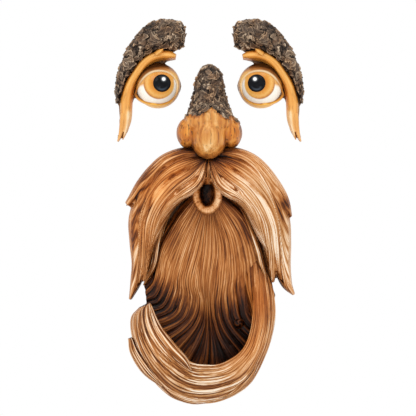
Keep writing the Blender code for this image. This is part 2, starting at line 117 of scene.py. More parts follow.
class Clouds:
    """Soft random values that fill space and repeat from run to run."""

    def __init__(self, seed: int) -> None:
        """Fills the lattice.

        Args:
            seed: Picks one pattern.
        """
        self.lattice = np.random.default_rng(seed).random((32, 32, 32))

    def at(self, points: Array, size: float) -> Array:
        """Values from 0 to 1 at the points.

        Args:
            points: Places, three numbers each.
            size: How far apart the lattice's points lie.

        Returns:
            One value for each point.
        """
        place = points / size
        base = np.floor(place).astype(int)
        part = place - base
        part = part * part * (3 - 2 * part)
        total = np.zeros(points.shape[:-1])
        for corner in np.ndindex(2, 2, 2):
            index = (base + np.array(corner)) % 32
            weight = np.prod(np.where(np.array(corner) == 1, part, 1 - part), axis=-1)
            total += self.lattice[index[..., 0], index[..., 1], index[..., 2]] * weight
        return total


class Skin:
    """Gathers grids of points into one mesh, with painted values at each point."""

    VALUES = ("groove", "paint", "warm", "cream", "shade")

    def __init__(self) -> None:
        """Starts with no points."""
        self.points: list[Array] = []
        self.faces: list[tuple[int, ...]] = []
        self.flat: list[int] = []
        self.values: dict[str, list[Array]] = {name: [] for name in self.VALUES}
        self.flow: list[Array] = []
        self.size = 0

    def add_grid(self, points: Array, closed: bool, flip: bool, caps: tuple[bool, bool] = (False, False),
                 flow: Array | None = None, **values: Array) -> None:
        """Adds a grid of quads.

        Args:
            points: Rows and columns of points.
            closed: Whether the last column joins the first.
            flip: Whether to turn the faces round.
            caps: Whether the first and the last row get an end face.
            flow: Texture coordinates for each point.
            **values: Painted values for each point, 0 where left out.
        """
        rows, cols = points.shape[:2]
        reach = cols if closed else cols - 1
        i, j = np.meshgrid(np.arange(rows - 1), np.arange(reach), indexing="ij")
        k = (j + 1) % cols
        quads = np.stack([i * cols + j, i * cols + k, (i + 1) * cols + k, (i + 1) * cols + j], axis=-1)
        quads = quads.reshape(-1, 4) + self.size
        if flip:
            quads = quads[:, ::-1]
        self.faces += [tuple(q) for q in quads.tolist()]
        first = list(range(self.size, self.size + cols))
        last = [n + (rows - 1) * cols for n in first]
        for wanted, ring, way in ((caps[0], first, not flip), (caps[1], last, flip)):
            if wanted:
                self.flat.append(len(self.faces))
                self.faces.append(tuple(ring[::-1] if way else ring))
        self.points.append(points.reshape(-1, 3))
        for name in self.VALUES:
            value = np.broadcast_to(values.get(name, 0.0), (rows, cols))
            self.values[name].append(value.reshape(-1))
        self.flow.append(np.zeros((rows * cols, 3)) if flow is None else flow.reshape(-1, 3))
        self.size += rows * cols

    def add_ellipsoid(self, centre: Sequence[float], radii: Sequence[float]) -> None:
        """Adds an ellipsoid, its centre and radii given across, up and in depth."""
        turn, rise = np.meshgrid(np.linspace(0, 2 * math.pi, 65)[:-1],
                                 np.linspace(-0.499, 0.499, 33) * math.pi)
        across = centre[0] + radii[0] * np.cos(rise) * np.cos(turn)
        depth = centre[2] + radii[2] * np.cos(rise) * np.sin(turn)
        points = world(across, centre[1] + radii[1] * np.sin(rise), depth)
        middle = world(*[np.array(c) for c in centre])
        _, flip = grid_normals(points, lambda p: p - middle)
        self.add_grid(points, True, flip, (True, True))

    def build(self, name: str, mirror: bool = False, offset: Sequence[float] = (0, 0, 0)) -> bpy.types.Object:
        """Makes the object.

        Args:
            name: The piece's name.
            mirror: Whether to mirror it from left to right.
            offset: How far to move it after mirroring.

        Returns:
            The new object.
        """
        points = np.concatenate(self.points)
        faces = self.faces
        if mirror:
            points = points * [-1, 1, 1]
            faces = [face[::-1] for face in faces]
        points = points + np.array(offset)
        mesh = bpy.data.meshes.new(name)
        mesh.from_pydata(points.tolist(), [], faces)
        smooth = np.ones(len(faces), bool)
        smooth[self.flat] = False
        mesh.polygons.foreach_set("use_smooth", smooth)
        for value in self.VALUES:
            write_value(mesh, value, np.concatenate(self.values[value]))
        write_vector(mesh, "flow", np.concatenate(self.flow))
        return link(name, mesh)


def write_value(mesh: bpy.types.Mesh, name: str, values: Array) -> None:
    """Stores one number for each point of a mesh."""
    layer = mesh.attributes.new(name, "FLOAT", "POINT")
    layer.data.foreach_set("value", np.ascontiguousarray(values, np.float32))


def write_vector(mesh: bpy.types.Mesh, name: str, values: Array) -> None:
    """Stores three numbers for each point of a mesh."""
    layer = mesh.attributes.new(name, "FLOAT_VECTOR", "POINT")
    layer.data.foreach_set("vector", np.ascontiguousarray(values, np.float32).reshape(-1))


def link(name: str, mesh: bpy.types.Mesh) -> bpy.types.Object:
    """Puts a mesh into the scene as a new object."""
    made = bpy.data.objects.new(name, mesh)
    bpy.context.scene.collection.objects.link(made)
    return made


def grid_normals(points: Array, outward: Callable[[Array], Array]) -> tuple[Array, bool]:
    """Unit normals of a grid, turned outward.

    Args:
        points: Rows and columns of points.
        outward: Gives a rough outward direction for each point.

    Returns:
        The normals, and whether the grid's faces must be flipped to agree with them.
    """
    across = np.gradient(points, axis=1)
    along = np.gradient(points, axis=0)
    normals = np.cross(across, along)
    normals /= np.maximum(np.linalg.norm(normals, axis=-1, keepdims=True), 1e-12)
    turned = float(np.sum(normals * outward(points))) < 0
    return (-normals if turned else normals), turned


def off_trunk(points: Array) -> Array:
    """The way off the trunk, for each point."""
    return np.broadcast_to([0.0, -1.0, 0.0], points.shape)


@dataclass(frozen=True)
class Airbrush:
    """Soft sprays of paint over the face.

    Each spray is its place across and up in millimetres, its radius, and how much it adds.
    """

    base: float
    sprays: tuple[tuple[float, float, float, float], ...] = ()

    def at(self, points: Array) -> Array:
        """The paint's value at the points."""
        total = np.full(points.shape[:-1], self.base)
        for across, up, radius, amount in self.sprays:
            far = (points[..., 0] / MM - across) ** 2 + (points[..., 2] / MM - up) ** 2
            total += amount * np.exp(-far / radius ** 2)
        return total


@dataclass(frozen=True)
class Comb:
    """How hair is combed into a surface. Each layer is its pitch and its depth in millimetres."""

    clump: tuple[float, float] = (6.5, 1.0)
    strand: tuple[float, float] = (2.3, 0.6)
    fine: tuple[float, float] = (1.05, 0.16)
    wave: float = 1.3
    chip: float = 0.35
    seed: int = 1

    def relief(self, across_mm: Array, along_mm: Array,
               boost: Array | float = 1.0) -> tuple[Array, Array, Array]:
        """The hair's relief.

        Args:
            across_mm: The distance across the strands.
            along_mm: The distance along them.
            boost: How strongly the clumps part.

        Returns:
            How far the surface moves, in metres and never outwards; the height from groove to crest, from
            0 to 1; and each strand's own lighter or darker tone, about 0.
        """
        clouds = Clouds(self.seed)

        def cloud(across: Array, along: Array, salt: float) -> Array:
            """Soft values over the hair."""
            return clouds.at(np.stack([across, along, np.full_like(across, salt)], axis=-1), 1.0)

        drift = (cloud(across_mm / 12, along_mm / 36, 0.3) + 0.35 * cloud(across_mm / 5, along_mm / 14, 9.7)
                 - 0.68)
        place = across_mm + 2 * self.wave * drift
        clump = np.abs(np.sin(math.pi * place / self.clump[0])) ** 0.7
        parted = 0.35 + 1.2 * cloud(np.floor(place / self.clump[0]) * 0.71, along_mm / 55, 4.4)
        row = place / self.strand[0]
        strand = np.abs(np.sin(math.pi * row)) ** 0.75
        ident = np.floor(row)
        chance = cloud(ident * 1.37, np.full_like(ident, 2.5), 6.1)
        broken = np.floor(along_mm / 27 + 7 * chance)
        height = cloud(ident * 1.37, broken * 1.61, 1.9)
        lift = 0.45 + 0.9 * cloud(ident * 1.7, along_mm / 30, 7.3)
        fine = np.abs(np.sin(math.pi * (place / self.fine[0] + 0.6 * drift))) ** 0.8
        moved = (self.clump[1] * boost * parted * (clump - 1) + self.strand[1] * (strand * lift - 1.35)
                 + self.chip * (height - 1) + self.fine[1] * (fine - 1))
        crest = (0.36 * (1 - parted * boost * (1 - clump)) + 0.46 * strand * np.clip(lift, 0, 1.1)
                 + 0.18 * fine)
        return moved * MM, np.clip(crest, 0, 1), 0.6 * (height - 0.5) + 0.4 * (lift - 0.9)


class Hollows:
    """How closed in a place on a casting is, felt out on the CAD solids."""

    def __init__(self, nodes: Iterable[str], reach: float = 0.030, rays: int = 14) -> None:
        """Takes the solids.

        Args:
            nodes: The CAD nodes to feel.
            reach: How far a ray looks.
            rays: How many rays leave each place.
        """
        points: list[Vector] = []
        faces: list[tuple[int, ...]] = []
        for name in nodes:
            mesh = bpy.data.objects[name].data
            start = len(points)
            points += [v.co.copy() for v in mesh.vertices]
            faces += [tuple(n + start for n in face.vertices) for face in mesh.polygons]
        self.tree = BVHTree.FromPolygons(points, faces)
        self.reach = reach
        turn = math.pi * (3 - math.sqrt(5))
        self.ways = []
        for n in range(rays):
            height = math.sqrt((n + 0.5) / rays)
            ring = math.sqrt(1 - height * height)
            self.ways.append((ring * math.cos(turn * n), ring * math.sin(turn * n), height))

    def at(self, points: Array, normals: Array, lift: float = 0.004) -> Array:
        """The closed-in share at each point, from 0 in the open to 1.

        Args:
            points: The places, as a flat list of points.
            normals: The outward direction at each.
            lift: How far off the surface the rays start.

        Returns:
            One value for each point.
        """
        out = np.zeros(len(points))
        for n, (point, normal) in enumerate(zip(points, normals)):
            axis = Vector(normal)
            side = axis.orthogonal().normalized()
            other = axis.cross(side)
            start = Vector(point) + axis * lift
            hits = 0.0
            for a, b, c in self.ways:
                way = side * a + other * b + axis * c
                distance = self.tree.ray_cast(start, way, self.reach)[3]
                if distance is not None:
                    hits += 1 - 0.6 * distance / self.reach
            out[n] = hits / len(self.ways)
        return out

    def over_grid(self, points: Array, normals: Array, skip: int = 5) -> Array:
        """The same for a grid, felt at some of its points and blended between them."""
        rows, cols = points.shape[:2]
        i = np.unique(np.append(np.arange(0, rows, skip), rows - 1))
        j = np.unique(np.append(np.arange(0, cols, skip), cols - 1))
        felt = self.at(points[np.ix_(i, j)].reshape(-1, 3), normals[np.ix_(i, j)].reshape(-1, 3))
        felt = felt.reshape(len(i), len(j))
        wide = np.array([np.interp(np.arange(cols), j, row) for row in felt])
        return np.array([np.interp(np.arange(rows), i, column) for column in wide.T]).T

    def over_cloud(self, points: Array, normals: Array, felt: int = 7000) -> Array:
        """The same for a mesh's points, felt at some of them and blended over the rest."""
        chosen = np.linspace(0, len(points) - 1, min(felt, len(points))).astype(int)
        values = self.at(points[chosen], normals[chosen])
        tree = KDTree(len(chosen))
        for n, point in enumerate(points[chosen]):
            tree.insert(point, n)
        tree.balance()
        out = np.zeros(len(points))
        for n, point in enumerate(points):
            near = tree.find_n(point, 4)
            weights = [1 / (far + 0.0004) for _, _, far in near]
            out[n] = sum(w * values[k] for w, (_, k, _) in zip(weights, near)) / sum(weights)
        return out


class Graph:
    """A short way to write a material's nodes."""

    def __init__(self, name: str) -> None:
        """Makes an empty material with a Principled shader."""
        self.material = bpy.data.materials.new(name)
        self.material.use_nodes = True
        self.tree = self.material.node_tree
        self.shader = self.tree.nodes["Principled BSDF"]

    def plug(self, socket: bpy.types.NodeSocket, value: object) -> None:
        """Gives a socket a plain value or a link."""
        if isinstance(value, bpy.types.NodeSocket):
            self.tree.links.new(value, socket)
        elif value is not None:
            socket.default_value = value

    def value(self, name: str) -> bpy.types.NodeSocket:
        """A number painted on the mesh."""
        node = self.tree.nodes.new("ShaderNodeAttribute")
        node.attribute_name = name
        return node.outputs["Fac"]

    def vector(self, name: str) -> bpy.types.NodeSocket:
        """Three numbers painted on the mesh."""
        node = self.tree.nodes.new("ShaderNodeAttribute")
        node.attribute_name = name
        return node.outputs["Vector"]

    def place(self) -> bpy.types.NodeSocket:
        """The point's place in the object's own space."""
        return self.tree.nodes.new("ShaderNodeTexCoord").outputs["Object"]

    def stretch(self, vector: bpy.types.NodeSocket, scale: Sequence[float]) -> bpy.types.NodeSocket:
        """A vector scaled along each axis."""
        node = self.tree.nodes.new("ShaderNodeVectorMath")
        node.operation = "MULTIPLY"
        self.plug(node.inputs[0], vector)
        node.inputs[1].default_value = tuple(scale)
        return node.outputs["Vector"]

    def noise(self, vector: bpy.types.NodeSocket, scale: float, detail: float = 3.0,
              rough: float = 0.55, twist: float = 0.0) -> bpy.types.NodeSocket:
        """Cloudy noise from 0 to 1."""
        node = self.tree.nodes.new("ShaderNodeTexNoise")
        self.plug(node.inputs["Vector"], vector)
        node.inputs["Scale"].default_value = scale
        node.inputs["Detail"].default_value = detail
        node.inputs["Roughness"].default_value = rough
        node.inputs["Distortion"].default_value = twist
        return node.outputs["Fac"]

    def math(self, kind: str, first: object, second: object = None,
             clamp: bool = False) -> bpy.types.NodeSocket:
        """Arithmetic on one or two numbers."""
        node = self.tree.nodes.new("ShaderNodeMath")
        node.operation = kind
        node.use_clamp = clamp
        self.plug(node.inputs[0], first)
        self.plug(node.inputs[1], second)
        return node.outputs["Value"]

    def sway(self, value: object, cloud: object, middle: float, amount: float) -> bpy.types.NodeSocket:
        """A number swayed up and down by a soft noise about its middle."""
        return self.math("ADD", value, self.math("MULTIPLY", self.math("SUBTRACT", cloud, middle), amount))

    def fit(self, value: object, low: float, high: float, to_low: float = 0.0,
            to_high: float = 1.0) -> bpy.types.NodeSocket:
        """Maps one range of numbers to another and holds it there."""
        node = self.tree.nodes.new("ShaderNodeMapRange")
        self.plug(node.inputs["Value"], value)
        node.inputs["From Min"].default_value = low
        node.inputs["From Max"].default_value = high
        node.inputs["To Min"].default_value = to_low
        node.inputs["To Max"].default_value = to_high
        return node.outputs["Result"]

    def ramp(self, value: object, stops: Sequence[tuple[float, tuple[float, ...]]]) -> bpy.types.NodeSocket:
        """A run of colours along a number."""
        node = self.tree.nodes.new("ShaderNodeValToRGB")
        self.plug(node.inputs["Fac"], value)
        elements = node.color_ramp.elements
        while len(elements) < len(stops):
            elements.new(0.5)
        for element, (place, colour) in zip(elements, stops):
            element.position = place
            element.color = (*paint(*colour), 1)
        return node.outputs["Color"]

    def mix(self, factor: object, first: object, second: object, kind: str = "MIX") -> bpy.types.NodeSocket:
        """Two colours blended."""
        node = self.tree.nodes.new("ShaderNodeMix")
        node.data_type = "RGBA"
        node.blend_type = kind
        self.plug(node.inputs["Factor"], factor)
        colours = [s for s in node.inputs if s.type == "RGBA"]
        for socket, colour in zip(colours, (first, second)):
            self.plug(socket, (*colour, 1) if isinstance(colour, tuple) else colour)
        return next(s for s in node.outputs if s.type == "RGBA")

    def bump(self, height: object, strength: float, distance: float,
             under: object = None) -> bpy.types.NodeSocket:
        """A bumped normal."""
        node = self.tree.nodes.new("ShaderNodeBump")
        node.inputs["Strength"].default_value = strength
        node.inputs["Distance"].default_value = distance
        self.plug(node.inputs["Height"], height)
        self.plug(node.inputs["Normal"], under)
        return node.outputs["Normal"]

    def finish(self, colour: object, rough: object, normal: object = None, coat: float = 0.0,
               coat_rough: float = 0.2, specular: float = 0.5) -> bpy.types.Material:
        """Plugs the results into the shader.

        Args:
            colour: The base colour.
            rough: The roughness.
            normal: The bumped normal.
            coat: How much clear varnish lies on top.
            coat_rough: The varnish's roughness.
            specular: The reflection level under the varnish.

        Returns:
            The material.
        """
        self.plug(self.shader.inputs["Base Color"], (*colour, 1) if isinstance(colour, tuple) else colour)
        self.plug(self.shader.inputs["Roughness"], rough)
        self.plug(self.shader.inputs["Normal"], normal)
        self.shader.inputs["Coat Weight"].default_value = coat
        self.shader.inputs["Coat Roughness"].default_value = coat_rough
        self.shader.inputs["Specular IOR Level"].default_value = specular
        return self.material


def paint(red: float, green: float, blue: float) -> tuple[float, float, float]:
    """A paint colour as seen, from 0 to 255, in the linear numbers that shaders take."""
    seen = [c / 255 for c in (red, green, blue)]
    return tuple(c / 12.92 if c <= 0.04045 else ((c + 0.055) / 1.055) ** 2.4 for c in seen)


HAIR_STOPS = (
    (0.00, (18, 5, 1)),
    (0.18, (56, 23, 6)),
    (0.38, (112, 60, 22)),
    (0.56, (168, 106, 49)),
    (0.72, (208, 156, 102)),
    (0.87, (231, 195, 157)),
    (1.00, (250, 234, 212)),
)


@dataclass(frozen=True)
class PaintedHair:
    """Brown glaze in the grooves, tan on the strands, and cream on the crests as dry-brush and painted
    highlight.
    """

    name: str
    contrast: float = 0.80
    streaks: float = 0.46
    shaded: float = 0.55
    rough: float = 0.42
    stained: float = 0.34

    def make(self) -> bpy.types.Material:
        """Builds the material."""
        g = Graph(self.name)
        flow = g.vector("flow")
        hair = g.noise(g.stretch(flow, (1.5, 0.035, 1)), 1.0, 3, 0.6)
        thin = g.noise(g.stretch(flow, (3.4, 0.08, 1)), 1.0, 2, 0.6)
        dark = g.fit(g.noise(g.stretch(flow, (0.62, 0.016, 1)), 1.0, 4, 0.7), 0.50, 0.32)
        cloud = g.noise(g.place(), 38, 3)
        groove = g.value("groove")
        value = g.sway(g.value("paint"), groove, 0.55, self.contrast)
        value = g.sway(value, hair, 0.5, self.streaks * 1.5)
        value = g.sway(value, thin, 0.5, self.streaks)
        value = g.sway(value, cloud, 0.5, 0.16)
        value = g.math("SUBTRACT", value, g.math("MULTIPLY", dark, self.stained))
        # The cream on the crests is dry-brushed paint and partly a painted highlight
        brushed = g.math("MULTIPLY", g.fit(groove, 0.55, 0.95), g.fit(hair, 0.38, 0.62))
        value = g.math("ADD", value, g.math("MULTIPLY", brushed, g.value("cream")))
        value = g.math("SUBTRACT", value, g.math("MULTIPLY", g.value("shade"), self.shaded), clamp=True)
        colour = g.ramp(value, HAIR_STOPS)
        orange = g.mix(1.0, colour, paint(255, 214, 160), "MULTIPLY")
        warmth = g.math("MULTIPLY", g.value("warm"), g.fit(value, 0.05, 0.6), clamp=True)
        colour = g.mix(warmth, colour, orange)
        rough = g.fit(value, 0, 1, self.rough - 0.04, self.rough + 0.12)
        normal = g.bump(g.math("ADD", hair, g.math("MULTIPLY", thin, 0.6)), 0.35, 0.0006)
        return g.finish(colour, rough, normal, coat=0.06, coat_rough=0.25, specular=0.16)


@dataclass(frozen=True)
class GoldenWood:
    """Smooth honey-coloured wood with fine dark grain and short dark cracks."""

    name: str
    strength: float = 1.0
    along_flow: bool = False

    def grid(self, g: Graph, across: float, along: float) -> bpy.types.NodeSocket:
        """Places drawn out along the grain, by how much they count across and along it."""
        if self.along_flow:
            return g.stretch(g.vector("flow"), (across * MM, along * MM, across * MM))
        return g.stretch(g.place(), (across, across, along))

    def colour(self, g: Graph) -> tuple[bpy.types.NodeSocket, bpy.types.NodeSocket]:
        """The wood's colour and grain.

        Args:
            g: The material's nodes.

        Returns:
            The colour and the grain's height.
        """
        grain = g.noise(self.grid(g, 260, 16), 1.0, 4, 0.62)
        wide = g.noise(self.grid(g, 90, 9), 1.0, 3, 0.55)
        cracks = g.noise(self.grid(g, 460, 75), 1.0, 2, 0.5)
        value = g.sway(g.value("paint"), grain, 0.5, self.strength)
        value = g.sway(value, wide, 0.5, 0.75 * self.strength)
        value = g.math("SUBTRACT", value, g.math("MULTIPLY", g.value("shade"), 0.5), clamp=True)
        colour = g.ramp(value, (
            (0.00, (62, 32, 12)), (0.20, (130, 78, 32)), (0.42, (192, 128, 62)), (0.60, (220, 165, 96)),
            (0.80, (238, 198, 142)), (1.00, (252, 236, 208)),
        ))
        orange = g.mix(1.0, colour, paint(255, 216, 136), "MULTIPLY")
        colour = g.mix(g.value("warm"), colour, orange)
        dark = g.math("MULTIPLY", g.fit(cracks, 0.585, 0.66), g.value("cream"))
        colour = g.mix(dark, colour, paint(66, 36, 20))
        return colour, g.math("SUBTRACT", grain, g.math("MULTIPLY", dark, 0.8))

    def make(self) -> bpy.types.Material:
        """Builds the material."""
        g = Graph(self.name)
        colour, grain = self.colour(g)
        return g.finish(colour, g.fit(grain, 0.2, 0.8, 0.42, 0.34), g.bump(grain, 0.25, 0.0005), coat=0.10,
                        coat_rough=0.2, specular=0.3)


@dataclass(frozen=True)
class Bark:
    """Dark flaky bark, pale where the flakes' edges lift."""

    name: str

    def colour(self, g: Graph) -> tuple[bpy.types.NodeSocket, bpy.types.NodeSocket]:
        """The bark's colour and fine relief.

        Args:
            g: The material's nodes.

        Returns:
            The colour and the relief's height.
        """
        place = g.place()
        fibre = g.noise(g.stretch(place, (620, 620, 300)), 1.0, 4, 0.65, 0.6)
        patch = g.noise(place, 130, 3)
        value = g.sway(g.value("groove"), fibre, 0.5, 0.36)
        value = g.sway(value, patch, 0.42, 0.22)
        value = g.math("SUBTRACT", value, g.math("MULTIPLY", g.value("shade"), 0.25), clamp=True)
        colour = g.ramp(value, (
            (0.00, (20, 15, 12)), (0.20, (54, 43, 35)), (0.40, (98, 80, 66)), (0.58, (140, 117, 95)),
            (0.76, (184, 159, 131)), (1.00, (222, 202, 176)),
        ))
        brown = g.mix(1.0, colour, paint(255, 236, 216), "MULTIPLY")
        colour = g.mix(g.fit(g.noise(place, 90, 2), 0.45, 0.6), colour, brown)
        return colour, fibre

    def make(self) -> bpy.types.Material:
        """Builds the material."""
        g = Graph(self.name)
        colour, fibre = self.colour(g)
        return g.finish(colour, 0.62, g.bump(fibre, 0.6, 0.0007), specular=0.25)


@dataclass(frozen=True)
class BarkAndWood:
    """Bark above and golden wood below, parted by the painted value named bark."""

    name: str

    def make(self) -> bpy.types.Material:
        """Builds the material."""
        g = Graph(self.name)
        wood, grain = GoldenWood("").colour(g)
        bark, fibre = Bark("").colour(g)
        part = g.fit(g.value("bark"), 0.35, 0.6)
        colour = g.mix(part, wood, bark)
        height = g.math("ADD", g.math("MULTIPLY", fibre, part),
                        g.math("MULTIPLY", grain, g.math("SUBTRACT", 0.4, g.math("MULTIPLY", part, 0.4))))
        rough = g.fit(part, 0, 1, 0.36, 0.64)
        return g.finish(colour, rough, g.bump(height, 0.4, 0.0006), coat=0.08, coat_rough=0.2, specular=0.3)


@dataclass(frozen=True)
class EyePaint:
    """A warm white eyeball and an amber iris under gloss varnish, with painted shade in honey above and near
    the lids.
    """

    name: str

    def make(self) -> bpy.types.Material:
        """Builds the material, from the place that the mesh gives in iris radii."""
        g = Graph(self.name)
        iris = g.vector("flow")
        split = g.tree.nodes.new("ShaderNodeSeparateXYZ")
        g.plug(split.inputs[0], iris)
        across, up = split.outputs[0], split.outputs[1]
        far = g.math("SQRT", g.math("ADD", g.math("MULTIPLY", across, across), g.math("MULTIPLY", up, up)))
        angle = g.math("ARCTAN2", up, across)
        spoke = g.tree.nodes.new("ShaderNodeCombineXYZ")
        g.plug(spoke.inputs[0], g.math("COSINE", angle))
        g.plug(spoke.inputs[1], g.math("SINE", angle))
        g.plug(spoke.inputs[2], g.math("MULTIPLY", far, 0.25))
        fibres = g.noise(spoke.outputs[0], 9, 4, 0.6)
        soft = g.noise(g.place(), 120, 3)
        value = g.sway(far, fibres, 0.5, 0.26)
        # The iris is lighter towards its lower left: a painted highlight
        value = g.math("SUBTRACT", value, g.math("MULTIPLY", across, 0.12))
        value = g.math("SUBTRACT", value, g.math("MULTIPLY", up, 0.10))
        amber = g.ramp(g.math("MULTIPLY", value, 0.9, clamp=True), (
            (0.00, (168, 92, 24)), (0.45, (206, 128, 34)), (0.62, (224, 152, 56)), (0.80, (238, 182, 98)),
            (0.90, (226, 160, 76)), (1.00, (182, 112, 44)),
        ))
        # The white darkens towards the lids' rim, where the eyeball's groove value falls: painted shade
        pale = g.sway(g.value("groove"), soft, 0.5, 0.2)
        white = g.ramp(pale, (
            (0.00, (168, 106, 52)), (0.24, (226, 196, 152)), (0.50, (250, 240, 222)), (1.00, (255, 250, 238)),
        ))
        # The white's upper part turns honey-coloured: painted shade under the upper lid
        above = g.math("SUBTRACT", up, g.math("MULTIPLY", across, 0.20))
        honey = g.mix(g.fit(soft, 0.35, 0.65), paint(228, 158, 70), paint(240, 186, 108))
        white = g.mix(g.fit(above, 0.02, 0.22), white, honey)
        edge = g.fit(g.sway(far, soft, 0.5, 0.05), 0.965, 1.03)
        colour = g.mix(edge, amber, white)
        shade = g.math("MULTIPLY", g.value("shade"), 0.8, clamp=True)
        colour = g.mix(shade, colour, g.mix(1.0, colour, paint(150, 92, 52), "MULTIPLY"))
        return g.finish(colour, 0.25, g.bump(fibres, 0.06, 0.0003), coat=0.2, coat_rough=0.08, specular=0.3)


@dataclass(frozen=True)
class LidPaint:
    """Brown above, orange below and a pale line where the lids meet the eye."""

    name: str

    def make(self) -> bpy.types.Material:
        """Builds the material. The value warm is 1 on the lower lid and cream is the pale line."""
        g = Graph(self.name)
        place = g.place()
        soft = g.noise(place, 160, 4)
        value = g.sway(g.value("paint"), soft, 0.5, 0.3)
        value = g.math("SUBTRACT", value, g.math("MULTIPLY", g.value("shade"), 0.6), clamp=True)
        brown = g.ramp(value, (
            (0.00, (62, 32, 12)), (0.35, (144, 88, 42)), (0.60, (192, 130, 72)), (0.85, (226, 174, 112)),
            (1.00, (246, 214, 164)),
        ))
        orange = g.ramp(value, (
            (0.00, (96, 52, 14)), (0.35, (200, 126, 36)), (0.60, (240, 176, 66)), (0.85, (248, 200, 104)),
            (1.00, (252, 222, 160)),
        ))
        colour = g.mix(g.value("warm"), brown, orange)
        colour = g.mix(g.value("cream"), colour, paint(246, 218, 172))
        return g.finish(colour, 0.34, g.bump(soft, 0.15, 0.0004), coat=0.06, coat_rough=0.18, specular=0.25)


@dataclass(frozen=True)
class Gloss:
    """Black gloss paint with a painted white highlight in a grey halo, and a painted pale reflection along
    its lower rim.
    """

    name: str
    # Where the painted highlight sits, in the pupil's radii
    light: tuple[float, float] = (0.20, 0.46)

    def spot(self, g: Graph, across: float, up: float) -> bpy.types.NodeSocket:
        """The distance from a place on the pupil, in its radii."""
        node = g.tree.nodes.new("ShaderNodeVectorMath")
        node.operation = "DISTANCE"
        g.plug(node.inputs[0], g.vector("flow"))
        node.inputs[1].default_value = (across, up, 0)
        return node.outputs["Value"]

    def make(self) -> bpy.types.Material:
        """Builds the material."""
        g = Graph(self.name)
        soft = g.noise(g.place(), 260, 2)
        colour = g.ramp(soft, ((0.3, (10, 11, 14)), (0.7, (20, 22, 27))))
        # A pale bluish arc near the lower rim is a painted reflection
        ring = g.math("SUBTRACT", self.spot(g, 0, 0), 0.72)
        arc = g.math("MULTIPLY", g.fit(g.math("ABSOLUTE", ring), 0.16, 0.0),
                     g.fit(self.spot(g, 0, -0.7), 0.75, 0.2))
        colour = g.mix(g.math("MULTIPLY", arc, 0.5), colour, paint(92, 104, 118))
        # A grey halo round a white spot at the given place is a painted highlight
        colour = g.mix(g.fit(self.spot(g, *self.light), 0.40, 0.18, 0, 0.55), colour, paint(120, 124, 128))
        colour = g.mix(g.fit(self.spot(g, *self.light), 0.25, 0.16), colour, paint(252, 252, 250))
        return g.finish(colour, g.fit(soft, 0.3, 0.7, 0.12, 0.18), specular=0.1)


@dataclass(frozen=True)
class RawBack:
    """The castings' plain backs, with a thin wash of brown over pale resin."""

    name: str

    def make(self) -> bpy.types.Material:
        """Builds the material."""
        g = Graph(self.name)
        place = g.place()
        wash = g.noise(place, 46, 5, 0.6)
        fine = g.noise(place, 900, 3)
        colour = g.ramp(wash, (
            (0.25, (92, 62, 42)), (0.45, (128, 92, 64)), (0.60, (150, 114, 84)), (0.78, (178, 144, 112)),
        ))
        height = g.math("ADD", g.math("MULTIPLY", wash, 0.6), g.math("MULTIPLY", fine, 0.4))
        return g.finish(colour, g.fit(fine, 0.3, 0.7, 0.6, 0.75), g.bump(height, 0.3, 0.0005))


def dress(piece: bpy.types.Object, material: bpy.types.Material, node: str) -> bpy.types.Object:
    """Paints a piece and ties it to the frame.

    Args:
        piece: The new piece.
        material: Its finish.
        node: The CAD node that it stands for.

    Returns:
        The piece.
    """
    piece.data.materials.append(material)
    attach(piece, "root")
    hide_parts(node)
    log.info("%s: %d faces", piece.name, len(piece.data.polygons))
    return piece


Spine = Sequence[tuple[float, float, float, float]]


